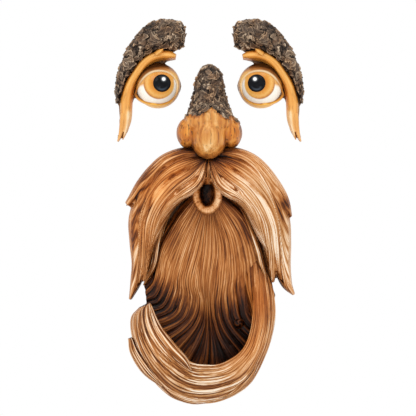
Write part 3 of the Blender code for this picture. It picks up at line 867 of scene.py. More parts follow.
@dataclass(frozen=True)
class Lock:
    """One tapering lock of hair. Spine rows are across, up, half width and crest as a share of the depth."""

    spine: Spine
    depth: float
    under: Sequence[float] | None = None
    squareness: float = 0.72
    along_step: float = 0.0011
    across_step: float = 0.0006

    def section(self, half: float, height: float) -> tuple[Array, Array, float]:
        """Evenly spaced points on the lock's arch.

        Args:
            half: Half the lock's width.
            height: The arch's height.

        Returns:
            The places across from -1 to 1 and up from 0 to 1, and the arch's length.
        """
        turn = np.linspace(0, math.pi, 600)
        across = -np.sign(np.cos(turn)) * np.abs(np.cos(turn)) ** self.squareness
        up = np.sin(turn) ** self.squareness
        run = np.concatenate([[0], np.cumsum(np.hypot(np.diff(across) * half, np.diff(up) * height))])
        even = np.linspace(0, run[-1], max(14, round(run[-1] / self.across_step)) + 1)
        return np.interp(even, run, across), np.interp(even, run, up), float(run[-1])

    def tube(self) -> tuple[Array, Array, Array, float, Array]:
        """The lock's plain form.

        Returns:
            The points, the points that its arches stand around, the distance along in millimetres, the arch's
            length, and the half widths.
        """
        rough = spline(self.spine, 60)[:, :2] * MM
        stations = max(12, round(run_length(rough)[-1] / self.along_step))
        rows = spline(self.spine, stations)
        centre, half = rows[:, :2] * MM, np.maximum(rows[:, 2], 0.35) * MM
        along = np.gradient(centre, axis=0)
        along /= np.linalg.norm(along, axis=1, keepdims=True)
        side = np.stack([-along[:, 1], along[:, 0]], axis=1)
        crest = rows[:, 3] * self.depth
        under = np.full(stations, SEAT)
        if self.under is not None:
            under = spline([[u] for u in self.under], stations)[:, 0] * self.depth
        under = np.minimum(under, crest - 0.002)
        across, arch, girth = self.section(half.mean(), (crest - under).mean())
        flat = centre[:, None, :] + (across[None, :] * half[:, None])[..., None] * side[:, None, :]
        depth = under[:, None] + (crest - under)[:, None] * arch[None, :]
        middle = world(centre[:, None, 0], centre[:, None, 1], under[:, None])
        return world(flat[..., 0], flat[..., 1], depth), middle, run_length(centre) / MM, girth, half

    def form(self, skin: Skin) -> None:
        """Adds the plain form to a skin."""
        points, middle, *_ = self.tube()
        skin.add_grid(points, True, grid_normals(points, lambda p: p - middle)[1], (True, True))

    def carve(self, skin: Skin, comb: Comb, tone: Airbrush, warm: Airbrush, cream: Airbrush,
              hollows: Hollows, ident: int = 0) -> None:
        """Adds the combed lock to a skin.

        Args:
            skin: Where the lock goes.
            comb: How its hair is combed.
            tone: The paint from dark to light.
            warm: The paint from brown to orange.
            cream: The cream on the crests, dry-brushed paint and partly a painted highlight.
            hollows: Feels how closed in the surface is.
            ident: Tells this lock's texture from the others'.
        """
        points, middle, distance_mm, girth, half = self.tube()
        normals, flip = grid_normals(points, lambda p: p - middle)
        share = np.linspace(0, 1, points.shape[1])
        grid_share, grid_along = np.meshgrid(share, distance_mm)
        across_mm = grid_share * girth / MM + 61 * ident
        moved, groove, tint = comb.relief(across_mm, grid_along)
        tip = step_between(0, 0.35, half / half.max())[:, None]
        points = points + normals * (moved * (0.25 + 0.75 * tip))[..., None]
        edge = step_between(0.0, 0.10, np.minimum(grid_share, 1 - grid_share))
        shade = hollows.over_grid(points, normals)
        points[..., 1] = np.minimum(points[..., 1], -SEAT - 0.00005 * (ident % 7))
        flow = np.stack([across_mm, grid_along, np.full_like(grid_share, ident * 7.3)], axis=-1)
        skin.add_grid(points, True, flip, (True, True), flow, groove=groove * (0.6 + 0.4 * edge),
                      paint=tone.at(points) + 0.2 * tint, warm=warm.at(points), cream=cream.at(points),
                      shade=shade)


class Fan:
    """Says where a point lies in a fan of strands: how far across them and along them."""

    def __init__(self, guides: Sequence[Array], width_mm: float, length_mm: float, across: int = 70,
                 along: int = 110) -> None:
        """Spreads the fan.

        Args:
            guides: Spines from the first strand to the last, with equal columns.
            width_mm: How wide the fan counts across.
            length_mm: How long it counts along.
            across: How many strands to try a point against.
            along: How many places along each.
        """
        even = []
        for guide in guides:
            dense = spline(guide, 400)
            run = run_length(dense[:, :2])
            place = np.linspace(0, run[-1], along)
            even.append(np.stack([np.interp(place, run, column) for column in dense.T], axis=1))
        sheet = spline(np.array(even).reshape(len(even), -1), across).reshape(across, along, -1)
        self.size = (across, along)
        self.span = (width_mm, length_mm)
        self.flat = sheet[..., :2].reshape(-1, 2)
        self.crest = sheet[..., 3].reshape(-1)
        step_u = np.gradient(sheet[..., :2], axis=0).reshape(-1, 2)
        self.spread = np.linalg.norm(step_u, axis=1) * (across - 1) / width_mm
        step_v = np.gradient(sheet[..., :2], axis=1).reshape(-1, 2)
        area = step_u[:, 0] * step_v[:, 1] - step_u[:, 1] * step_v[:, 0]
        area = np.where(np.abs(area) < 0.02, np.inf, area)
        self.to_u = np.stack([step_v[:, 1], -step_v[:, 0]], axis=1) / area[:, None]
        self.to_v = np.stack([-step_u[:, 1], step_u[:, 0]], axis=1) / area[:, None]
        self.tree = KDTree(len(self.flat))
        for n, (x, z) in enumerate(self.flat):
            self.tree.insert((x, z, 0), n)
        self.tree.balance()

    def find(self, points: Array) -> tuple[Array, Array, Array, Array, Array]:
        """Looks points up.

        Args:
            points: The points, in metres.

        Returns:
            Millimetres across and along, the share across, the crest's height as a share of the depth, and
            how far the strands spread, 1 where they lie as wide as the fan counts them.
        """
        flat = points[:, [0, 2]] / MM
        found = np.array([self.tree.find((x, z, 0))[1] for x, z in flat])
        off = flat - self.flat[found]
        u = found // self.size[1] + np.clip(np.sum(off * self.to_u[found], axis=1), -1.5, 1.5)
        v = found % self.size[1] + np.clip(np.sum(off * self.to_v[found], axis=1), -1.5, 1.5)
        u, v = u / (self.size[0] - 1), v / (self.size[1] - 1)
        return u * self.span[0], v * self.span[1], u, self.crest[found], self.spread[found]


def beside(spine: Spine, times: float) -> Array:
    """A spine moved sideways by its own half width, times a factor."""
    rows = np.array(spine, float)
    along = np.gradient(rows[:, :2], axis=0)
    along /= np.linalg.norm(along, axis=1, keepdims=True)
    rows[:, 0] -= along[:, 1] * rows[:, 2] * times
    rows[:, 1] += along[:, 0] * rows[:, 2] * times
    return rows


BOWL_DEPTH = 0.078
BOWL_WALL = 0.009
MOUSTACHE_DEPTH = 0.046
BEARD_DEPTH = 0.018
NOSE_DEPTH = 0.060
EYE_DEPTH = 0.034

LEFT_LOCKS: dict[str, Spine] = {
    "top": [(-3, 36, 5, 0.66), (-22, 37, 7, 0.80), (-42, 30, 8, 0.88), (-56, 18, 8, 0.90),
            (-67, 5, 7.4, 0.85), (-75, -6.5, 6, 0.76), (-82, -15, 4.0, 0.66)],
    "tail": [(-3, 33, 5, 0.70), (-24, 26, 9, 0.86), (-45, 13, 10.5, 0.93), (-60, -5, 11.5, 0.91),
             (-69, -28, 12, 0.80), (-70.5, -52, 10, 0.64), (-71, -74, 7.5, 0.50), (-74, -92, 5.8, 0.42),
             (-80, -110.5, 1.5, 0.32)],
    "side": [(-3, 31, 4.5, 0.76), (-18, 16, 7.5, 0.92), (-36, 3, 8, 1.0), (-50, -13, 8.5, 0.97),
             (-59, -33, 8, 0.84), (-62, -55, 6.5, 0.68), (-64, -75, 4.5, 0.54), (-65.5, -92, 1.5, 0.42)],
    "inner": [(-3, 29, 4, 0.80), (-11, 9, 5.5, 0.98), (-26, -3, 5, 1.04), (-39, -13, 5.5, 1.02),
              (-48.5, -27, 5.5, 0.94), (-55, -44, 4.5, 0.82), (-59.5, -61, 1.2, 0.68)],
    "ridge": [(-2.5, 28, 3, 0.80), (-6.5, 13, 4, 0.98), (-15, 2, 4.5, 1.07), (-24, -5, 3.5, 1.06),
              (-32, -10, 1.2, 0.98)],
}
RIGHT_LOCKS: dict[str, Spine] = {
    "top": [(2, 36, 5, 0.66), (21, 37, 7, 0.80), (38, 31, 8.5, 0.88), (51, 20, 9.5, 0.90),
            (64, 3, 9.5, 0.86), (74, -12, 7.5, 0.78), (82, -27, 1.8, 0.64)],
    "tail": [(2, 33, 5, 0.70), (23, 26, 9, 0.86), (43, 13, 11, 0.94), (59, -7, 12.5, 0.93),
             (68.5, -30, 12.5, 0.84), (71.5, -54, 11, 0.68), (73.5, -76, 8.8, 0.54),
             (78, -94, 5.8, 0.44), (85.5, -105.5, 1.5, 0.34)],
    "side": [(2, 31, 4.5, 0.76), (18, 15, 7.5, 0.92), (34, 3, 8.5, 1.0), (48, -14, 9, 0.97),
             (58, -35, 8, 0.86), (61.5, -56, 6.5, 0.70), (63, -76, 4.5, 0.56), (64, -93, 1.5, 0.44)],
    "inner": [(1.5, 29, 4, 0.80), (11, 7, 5.5, 0.98), (26, -4, 5.5, 1.04), (38, -13, 6, 1.02),
              (46, -28, 5.5, 0.95), (52, -44, 4.5, 0.84), (57, -58, 1.4, 0.70)],
    "ridge": [(1, 28, 3, 0.80), (4.5, 12.5, 4, 0.98), (13, 1, 4.5, 1.07), (22, -6, 3.5, 1.05),
              (30, -11, 1.2, 0.97)],
}
BOWL_LOCKS: dict[str, Spine] = {
    "curl_edge": [(-78.6, -147.5, 3.6, 0.52), (-73.5, -161, 6.4, 0.64), (-61.5, -178.5, 7.2, 0.72),
                  (-46, -194, 4, 0.70)],
    "low_left": [(-48, -191, 2.5, 0.68), (-34, -200, 6, 0.76), (-14, -206, 6.5, 0.78), (10, -205, 3, 0.76)],
    "low_right": [(13, -206, 1.8, 0.72), (26, -197, 4.5, 0.80), (42, -180, 4, 0.78), (50, -160, 2, 0.72)],
}
RIM_LOCK: Spine = [(-60, -115, 3, 0.64), (-52, -136, 5, 0.80), (-38, -155, 6, 0.94), (-25, -168, 5, 1.02),
                   (-18, -177, 1.8, 1.03)]


def carve_mesh(mesh: bpy.types.Mesh, points: Array, **values: Array) -> None:
    """Moves a mesh's points, shades it smooth and paints values on it.

    Args:
        mesh: The mesh.
        points: Its points' new places.
        values: The numbers painted on it, by name.
    """
    mesh.vertices.foreach_set("co", points.astype(np.float32).reshape(-1))
    mesh.polygons.foreach_set("use_smooth", np.ones(len(mesh.polygons), bool))
    for name, value in values.items():
        write_value(mesh, name, value)


@dataclass(frozen=True)
class Moustache:
    """The moustache's two halves: locks melted into one swept mass and combed along it."""

    depth: float = MOUSTACHE_DEPTH
    wider: tuple[float, ...] = (1.0, 1.04, 1.3, 1.3, 1.15)
    # The sprays that darken the hair round the nose's foot, near the top middle, are painted shadow under the
    # nose
    tone: Airbrush = Airbrush(0.56, (
        (0, 37, 17, -0.40), (-26, 36, 11, -0.14), (-56, -4, 11, 0.10), (-64, 14, 17, -0.20),
        (-37, -14, 10, 0.0),
        (-68, -6, 12, -0.14), (-67, -38, 13, -0.04), (-74, -60, 12, -0.02), (-72, -82, 12, -0.12),
        (-60, -60, 10, -0.12), (9, 14, 6, -0.14), (24, 30, 10, -0.18),
        (46, 6, 30, 0.12), (76, -14, 6.5, -0.44), (82, -26, 7, -0.12), (70, -60, 26, 0.08),
        (56, -70, 8, -0.12),
    ))
    warm: Airbrush = Airbrush(0.45, (
        (-33, 21, 14, 0.50), (-56, -3, 14, 0.55), (-46, 8, 14, 0.30), (-72, -40, 16, 0.30),
        (19, 22, 12, 0.50),
        (50, 28, 14, 0.20), (78, -4, 12, 0.20), (-8, 4, 10, 0.3), (50, -2, 20, -0.25), (70, -50, 36, -0.42),
    ))
    # Cream on the crests: dry-brushed paint, and partly a painted highlight
    cream: Airbrush = Airbrush(0.03, (
        (-20, 2, 9, 0.70), (-8, 15, 6, 0.40), (-62, 26, 9, 0.20), (-64, -34, 9, 0.25), (-74, -90, 16, 0.35),
        (22, -3, 9, 0.70), (6, 12, 6, 0.55), (50, -20, 20, 0.12), (55, -50, 11, 0.45), (74, -66, 20, 0.20),
        (82, -98, 14, 0.45),
    ))

    def spines(self, side: Side) -> list[Spine]:
        """The locks of one half, from its outer edge to its inner one."""
        return list((LEFT_LOCKS if side is Side.LEFT else RIGHT_LOCKS).values())

    def fan(self, side: Side) -> Fan:
        """The strands of one half, from its outer edge to its inner one."""
        locks = self.spines(side)
        inward = -side.value
        guides = [beside(locks[0], -inward), *[np.array(lock, float) for lock in locks[:4]],
                  beside(locks[3], 1.4 * inward)]
        return Fan(guides, 52, 125)

    def build(self, side: Side, hair: bpy.types.Material, hollows: Hollows) -> bpy.types.Object:
        """Carves one half.

        Args:
            side: Which half.
            hair: The painted finish.
            hollows: Feels how closed in the surface is.

        Returns:
            The half's piece.
        """
        forms = Skin()
        for spine, wider in zip(self.spines(side), self.wider):
            Lock([(x, z, half * wider, crest) for x, z, half, crest in spine], self.depth,
                 along_step=0.002, across_step=0.0016).form(forms)
        mesh = fuse(forms, 0.00062, 11)
        points, normals = mesh_arrays(mesh)
        across_mm, along_mm, share, crest, spread = self.fan(side).find(points)
        fall = np.clip(crest * self.depth + points[:, 1], 0, 1) / MM
        outer = np.where(share < 0.5, -1.0, 1.0)
        across_mm = across_mm + outer * 0.8 * np.clip(fall - 1.5, 0, 60)
        comb = Comb((7.6, 0.8), (2.4, 0.55), (1.1, 0.12), 1.8, 0.35, 20 + side.value)
        along_share = along_mm / 125
        ridges = step_between(0.70, 0.86, share) * (1 - step_between(0.3, 0.5, along_share))
        combed = comb.relief(across_mm, along_mm, 0.5 + 1.4 * ridges)
        wall = step_between(0.45, 0.75, 1 - np.abs(normals[:, 1]))
        beside_mm = np.stack([-points[:, 1] / MM + 0.12 * points[:, 0] / MM, -points[:, 2] / MM], axis=1)
        walled = comb.relief(beside_mm[:, 0], beside_mm[:, 1], 0.6)
        moved, groove, tint = [a + (b - a) * wall for a, b in zip(combed, walled)]
        across_mm = np.where(wall > 0.5, beside_mm[:, 0], across_mm)
        along_mm = np.where(wall > 0.5, beside_mm[:, 1], along_mm)
        front = ((1 - step_between(0.2, 0.7, normals[:, 1]))
                 * (0.3 + 0.7 * step_between(0.0, 0.5, -normals[:, 1])))
        tip = 1 - 0.7 * step_between(0.86, 1.0, along_share)
        points = points + normals * (moved * front * tip * np.clip(1.3 * spread, 0.15, 1))[:, None]
        shade = hollows.over_cloud(points, normals)
        points[:, 1] = np.minimum(points[:, 1], -SEAT)
        # The inner edges' ridges get more cream, dry-brushed paint and partly a painted highlight
        cream = self.cream.at(points) + 0.22 * ridges + 0.20 * step_between(0.78, 0.95, share)
        flow = np.stack([across_mm, along_mm, np.full_like(share, 3.0 * side.value)], axis=-1)
        write_vector(mesh, "flow", flow)
        carve_mesh(mesh, points, groove=groove, paint=self.tone.at(points) + 0.22 * tint,
                   warm=self.warm.at(points), cream=cream, shade=shade)
        return dress(link(f"moustache_{side.name.lower()}", mesh), hair, "feeder")


@dataclass(frozen=True)
class Beard:
    """The combed sheet of hair behind the open mouth, down into the bowl."""

    depth: float = BEARD_DEPTH
    strands: tuple[tuple[tuple[float, float], ...], ...] = (
        ((-14, 1), (-34, -20), (-50, -46), (-56, -66), (-59, -80), (-67, -92)),
        ((-13, -7), (-31, -32), (-46, -60), (-51, -82), (-56, -98), (-64, -107)),
        ((-10, -14), (-26, -46), (-38, -76), (-42, -97), (-50, -113), (-63, -117)),
        ((-7, -17), (-20, -52), (-30, -84), (-32, -104), (-41, -122), (-60, -130)),
        ((-4, -19), (-12, -56), (-20, -90), (-18, -110), (-25, -130), (-50, -146)),
        ((-2, -19), (-6, -60), (-10, -92), (-7, -113), (-12, -136), (-34, -164)),
        ((0.5, -19), (1, -60), (-3, -95), (-2, -118), (-2, -144), (-8, -178)),
        ((3, -19), (8, -58), (5, -92), (3, -117), (8, -142), (24, -172)),
        ((5, -18), (15, -54), (16, -88), (14, -113), (19, -135), (40, -162)),
        ((8, -14), (25, -46), (30, -78), (30, -102), (36, -126), (53, -146)),
        ((10, -7), (34, -32), (45, -62), (48, -84), (53, -104), (60, -122)),
        ((11, 1), (38, -18), (53, -50), (58, -71), (60, -86), (61.5, -100)),
    )
    swell: tuple[float, ...] = (0.30, 0.24, 0.15, 0.07, 0.02, 0.0)
    knob: tuple[float, float, float] = (30, -134, 5.5)
    sides: tuple[Spine, ...] = (
        ((24, -6, 2, 0.56), (37, -30, 4.0, 0.60), (47.5, -58, 4.4, 0.59), (53, -79, 4.0, 0.58),
         (60, -96, 1.2, 0.48)),
        ((-30, -8, 2, 0.54), (-43, -26, 3.8, 0.57), (-51.5, -50, 4.2, 0.57), (-55.5, -74, 4.0, 0.53),
         (-66, -96, 1.2, 0.38)),
    )
    # The sprays that darken the hair just under the lips and the moustache, and low down inside the bowl, are
    # painted shade
    tone: Airbrush = Airbrush(0.50, (
        (0, -22, 14, -0.10), (-42, -34, 16, -0.12), (40, -34, 16, -0.12), (3, -75, 20, 0.06),
        (-2, -60, 14, 0.04),
        (-58, -108, 16, -0.34), (6, -170, 36, -0.28), (30, -150, 24, -0.28), (-36, -124, 18, -0.22),
        (44, -84, 10, 0.06),
        (-40, -150, 24, -0.14), (-34, -70, 14, 0.08), (28, -125, 16, -0.14), (28, -72, 14, -0.02),
        (0, -130, 20, -0.08),
    ))
    warm: Airbrush = Airbrush(0.38, ((2, -72, 26, 0.28), (40, -100, 20, 0.25), (-40, -90, 18, 0.20)))
    cream: Airbrush = Airbrush(0.05, ((-40, -30, 14, 0.24), (40, -34, 14, 0.18), (-30, -125, 22, 0.10),
                                      (54, -72, 8, 0.25)))

    def build(self, hair: bpy.types.Material, hollows: Hollows) -> bpy.types.Object:
        """Combs the sheet.

        Args:
            hair: The painted finish.
            hollows: Feels how closed in the surface is.

        Returns:
            The beard's piece.
        """
        stations, per_guide = 200, 27
        guides = np.array([spline(strand, stations) for strand in self.strands])
        count = per_guide * (len(guides) - 1) + 1
        combed = spline(guides.reshape(len(guides), -1), count).reshape(count, stations, 2)
        combed = combed.transpose(1, 0, 2) * MM
        share = np.linspace(0, 1, count)
        reach = np.linspace(0, 1, stations)
        swell = spline([[s] for s in self.swell], stations)[:, 0] * MOUSTACHE_DEPTH
        grid_share, grid_along = np.meshgrid(share, 165 * reach)
        round_off = (1 - np.abs(2 * share - 1) ** 14) ** 0.5
        depth = (self.depth + swell)[:, None] * round_off
        points = world(combed[..., 0], combed[..., 1], np.maximum(depth, SEAT))
        normals, flip = grid_normals(points, off_trunk)
        comb = Comb((5.6, 1.15), (2.1, 0.55), (1.0, 0.14), 1.4, 0.25, 5)
        boost = (0.30 + 1.25 * step_between(0.45, 0.8, reach))[:, None]
        moved, groove, tint = comb.relief(grid_share * 118, grid_along, boost)
        points = points + normals * moved[..., None]
        shade = hollows.over_grid(points, normals)
        points[..., 1] = np.minimum(points[..., 1], -SEAT)
        flow = np.stack([grid_share * 118, grid_along, np.full_like(grid_share, 91.0)], axis=-1)
        values = {"groove": groove, "paint": self.tone.at(points) + 0.2 * tint, "warm": self.warm.at(points),
                  "cream": self.cream.at(points), "shade": shade}
        around = np.concatenate([[0], np.arange(stations), [stations - 1]])
        points = points[around]
        points[[0, -1], :, 1] = -SEAT
        skin = Skin()
        skin.add_grid(points, True, flip, (True, True), flow[around],
                      **{k: v[around] for k, v in values.items()})
        self.add_knob(skin)
        comb = Comb((5.0, 0.6), (1.9, 0.6), (0.9, 0.1), 1.0, 0.2, 81)
        for number, spine in enumerate(self.sides):
            Lock(spine, MOUSTACHE_DEPTH, under=(0.2, 0.25, 0.25, 0.2)).carve(
                skin, comb, Airbrush(0.60), Airbrush(0.05), Airbrush(0.50), hollows, 80 + number)
        return dress(skin.build("beard"), hair, "feeder")

    def add_knob(self, skin: Skin) -> None:
        """Adds the small round curl inside the bowl."""
        across, up, radius = self.knob
        turn, rise = np.meshgrid(np.linspace(0, 2 * math.pi, 49)[:-1], np.linspace(0.05, 0.5 * math.pi, 14))
        swirl = 0.35 * np.sin(3 * turn + 5 * rise) * MM
        ring = radius * MM * np.sin(rise) + swirl * np.sin(rise)
        depth = self.depth - 0.002 + (0.25 * self.depth + 0.002) * np.cos(rise) + 0.4 * swirl
        points = world(across * MM + ring * np.cos(turn), up * MM + ring * np.sin(turn), depth)
        points = np.concatenate([points, points[-1:] + np.array([0, 0.004, 0])])
        flow = np.stack([rise * 6, turn * 4, np.full_like(turn, 11.0)], axis=-1)
        flow = np.concatenate([flow, flow[-1:]])
        _, flip = grid_normals(points[:-1], off_trunk)
        groove = 0.6 + 0.3 * np.sin(3 * turn + 5 * rise)
        skin.add_grid(points, True, flip, (True, True), flow, groove=np.concatenate([groove, groove[-1:]]),
                      paint=0.30, warm=0.3, shade=0.3)


@dataclass(frozen=True)
class Bowl:
    """The beard's curl, one curved wall that makes the seed bowl.

    Rows are the outer edge, the rim, and the rim's depth as a share of the bowl's.
    """

    depth: float = BOWL_DEPTH
    wall: float = BOWL_WALL
    rows: tuple[tuple[float, float, float, float, float], ...] = (
        (48, -36, 37, -40, 0.10), (57, -62, 42, -62, 0.23), (63, -88, 44, -86, 0.37),
        (67, -112, 43.5, -112, 0.56),
        (66.5, -134, 40.5, -138, 0.76), (59, -162, 32, -157, 0.90), (42, -194, 14, -169, 0.98),
        (14, -211, -3, -171, 1.0), (-14, -214, -18, -168, 1.0), (-38, -208, -31, -158, 0.97),
        (-58, -189, -43, -145, 0.90), (-72, -166, -52, -132, 0.82), (-79, -145, -56, -122, 0.74),
        (-79, -128, -57, -114, 0.66), (-72, -119, -58, -112, 0.60),
    )
    merge: float = 0.28
    fillet: float = 20.0
    section: tuple[tuple[float, float], ...] = (
        (0.10, 0.0), (0.03, 0.12), (0.0, 0.34), (0.03, 0.58), (0.22, 0.83), (0.55, 0.97), (0.86, 1.0),
        (1.0, 0.93),
    )
    tone: Airbrush = Airbrush(0.47, (
        (58, -110, 20, -0.02), (52, -160, 16, 0.06), (22, -192, 22, 0.08), (-14, -200, 20, 0.02),
        (-62, -148, 22, 0.10),
        (-70, -124, 9, -0.04), (-34, -196, 12, -0.10), (48, -68, 14, -0.14), (-48, -188, 8, -0.12),
        (10, -206, 14, -0.04),
        (46, -120, 10, 0.02), (-20, -172, 8, -0.06),
    ))
    warm: Airbrush = Airbrush(0.24, ((0, -200, 34, -0.34), (48, -110, 18, 0.45), (40, -150, 14, 0.30),
                                     (-48, -150, 12, 0.20)))
    cream: Airbrush = Airbrush(0.40, ((60, -100, 22, -0.20), (48, -120, 14, -0.25), (-56, -150, 30, 0.22),
                                      (-4, -198, 28, 0.40)))

    def build(self, hair: bpy.types.Material, hollows: Hollows) -> bpy.types.Object:
        """Sweeps the wall round and lays four locks along it.

        Args:
            hair: The painted finish.
            hollows: Feels how closed in the surface is.

        Returns:
            The bowl's piece.
        """
        stations, samples = 276, 130
        rows = spline(self.rows, stations)
        outer, rim, depth = rows[:, :2] * MM, rows[:, 2:4] * MM, rows[:, 4] * self.depth
        section = spline(self.section, samples)
        width = np.linalg.norm(rim - outer, axis=1)
        inward = (rim - outer) / width[:, None]
        profile = section[None, :, :] * np.stack([width, depth], axis=1)[:, None, :]
        along = np.gradient(profile, axis=1)
        along /= np.linalg.norm(along, axis=2, keepdims=True)
        normal = np.stack([-along[..., 1], along[..., 0]], axis=-1)
        share = np.linspace(0, 1, samples)
        along_mm = run_length((outer + rim) / 2) / MM
        grid_share, grid_along = np.meshgrid(share, along_mm)
        girth = 78 * grid_share
        smooth_side = ((1 - step_between(0.38, 0.53, np.linspace(0, 1, stations)))[:, None]
                       * step_between(0.55, 0.7, grid_share))
        comb = Comb((7.4, 1.75), (2.5, 0.9), (1.05, 0.16), 2.4, 0.6, 9)
        moved, groove, tint = comb.relief(girth, grid_along, 1.0)
        moved = moved * (1 - 0.75 * smooth_side)
        groove = groove + (0.72 - groove) * 0.6 * smooth_side
        fade = np.minimum(1, 5 * grid_share)
        skin_profile = profile + (moved * fade)[..., None] * normal
        lining_comb = Comb((6.0, 0.4), (2.4, 0.3), (1.1, 0.1), 1.2, 0.2, 14)
        lining_moved, lining_groove, lining_tint = lining_comb.relief(girth, grid_along)
        inner = (profile - (self.wall + lining_moved)[..., None] * normal)[:, ::-1]
        ring = np.concatenate([skin_profile, inner], axis=1)
        flat = outer[:, None, :] + ring[..., :1] * inward[:, None, :]
        points = world(flat[..., 0], flat[..., 1], np.maximum(ring[..., 1], SEAT))
        middle = world(*((outer + rim) / 2)[:, None, :].transpose(2, 0, 1), (0.5 * depth)[:, None])
        normals, flip = grid_normals(points[:, :samples], lambda p: p - middle)
        shade = hollows.over_grid(points[:, :samples], normals)
        lining_normals = grid_normals(points[:, samples:], lambda p: middle - p)[0]
        lining_shade = hollows.over_grid(points[:, samples:], lining_normals)
        # The lining's last rows, at the trunk, take one even shade
        at_trunk = slice(-8, None)
        lining_shade[:, at_trunk] = 0.3
        lining = slice(samples, None)
        groove = np.concatenate([groove, 0.50 + 0.4 * (lining_groove[:, ::-1] - 0.5)], axis=1)
        tone = self.tone.at(points) + 0.2 * np.concatenate([tint, lining_tint[:, ::-1]], axis=1)
        cream, warm = self.cream.at(points), self.warm.at(points)
        # Inside the bowl the lining's paint is darker, painted shade, and more orange with no cream
        cream[:, lining] = 0.04
        tone[:, lining] -= 0.16
        warm[:, lining] += 0.30
        warm[:, :samples] += 0.35 * smooth_side
        flow = np.stack([np.concatenate([girth, 170 - girth[:, ::-1]], axis=1),
                         np.broadcast_to(along_mm[:, None], groove.shape), np.full_like(groove, 55.0)],
                         axis=-1)
        skin = Skin()
        skin.add_grid(points, True, flip, (True, True), flow, groove=groove, paint=tone, warm=warm,
                      cream=cream,
                      shade=np.concatenate([shade, lining_shade], axis=1))
        self.add_fillet(skin, rim, inward, depth, hollows)
        comb = Comb((6.0, 0.6), (2.3, 0.7), (1.0, 0.15), 1.4, 0.4, 70)
        for number, spine in enumerate(BOWL_LOCKS.values()):
            under = [max(crest - 0.07, 0.3) for *_, crest in spine] if number else (0.3, 0.4, 0.4, 0.3)
            Lock(spine, self.depth, under=under, along_step=0.0013).carve(
                skin, comb, self.tone, self.warm, self.cream, hollows, 30 + number)
        comb = Comb((5.0, 0.5), (2.2, 0.6), (1.0, 0.15), 1.0, 0.3, 75)
        Lock(RIM_LOCK, self.depth, under=(0.5, 0.66, 0.8, 0.88), along_step=0.0013).carve(
            skin, comb, self.tone, self.warm, self.cream, hollows, 35)
        return dress(skin.build("bowl"), hair, "feeder")

    def add_fillet(self, skin: Skin, rim: Array, inward: Array, depth: Array, hollows: Hollows) -> None:
        """Adds the soft hollow where the wall's right side runs up into the beard.

        Args:
            skin: Where it goes.
            rim: The rim's places across and up.
            inward: The way in from the outer edge at each.
            depth: The rim's depth at each.
            hollows: Feels how closed in the surface is.
        """
        stations = round(self.merge * len(rim))
        reach = np.linspace(0, 1, stations)
        wide = (self.fillet * (1 - step_between(0.55, 1.0, reach)) + 0.3) * MM
        share = np.linspace(0, 1, 44)
        floor = BEARD_DEPTH - 0.006
        crest = np.maximum(depth[:stations] + 0.0004, floor + 0.0006)
        slope = floor + (crest - floor)[:, None] * (0.5 + 0.5 * np.cos(math.pi * share[None, :]))
        run = wide[:, None] * share[None, :] - 0.005 * (1 - share[None, :])
        flat = rim[:stations, None, :] + run[..., None] * inward[:stations, None, :]
        front = world(flat[..., 0], flat[..., 1], slope)
        along_mm = run_length(rim[:stations]) / MM
        grid_share, grid_along = np.meshgrid(22 * share, along_mm)
        normals, flip = grid_normals(front, off_trunk)
        comb = Comb((6.0, 0.5), (2.3, 0.35), (1.1, 0.1), 1.2, 0.2, 16)
        moved, groove, tint = comb.relief(grid_share, grid_along)
        front = front + normals * moved[..., None]
        shade = hollows.over_grid(front, normals)
        behind = front + np.array([0.0, 0.004, 0.0])
        ring = np.concatenate([front, behind[:, ::-1]], axis=1)
        # The fillet's paint darkens towards the bowl's inside: painted shade
        inside = np.clip(share, 0, 1)[None, :] * step_between(0.4, 0.9, reach)[:, None]
        double = {"groove": groove, "paint": self.tone.at(front) + 0.15 * tint + 0.04 - 0.14 * inside,
                  "warm": self.warm.at(front) + 0.25,
                  "cream": np.full_like(groove, 0.04), "shade": shade}
        flow = np.stack([grid_share, grid_along, np.full_like(groove, 83.0)], axis=-1)
        skin.add_grid(ring, True, flip, (True, True), np.concatenate([flow, flow[:, ::-1]], axis=1),
                      **{k: np.concatenate([v, v[:, ::-1]], axis=1) for k, v in double.items()})


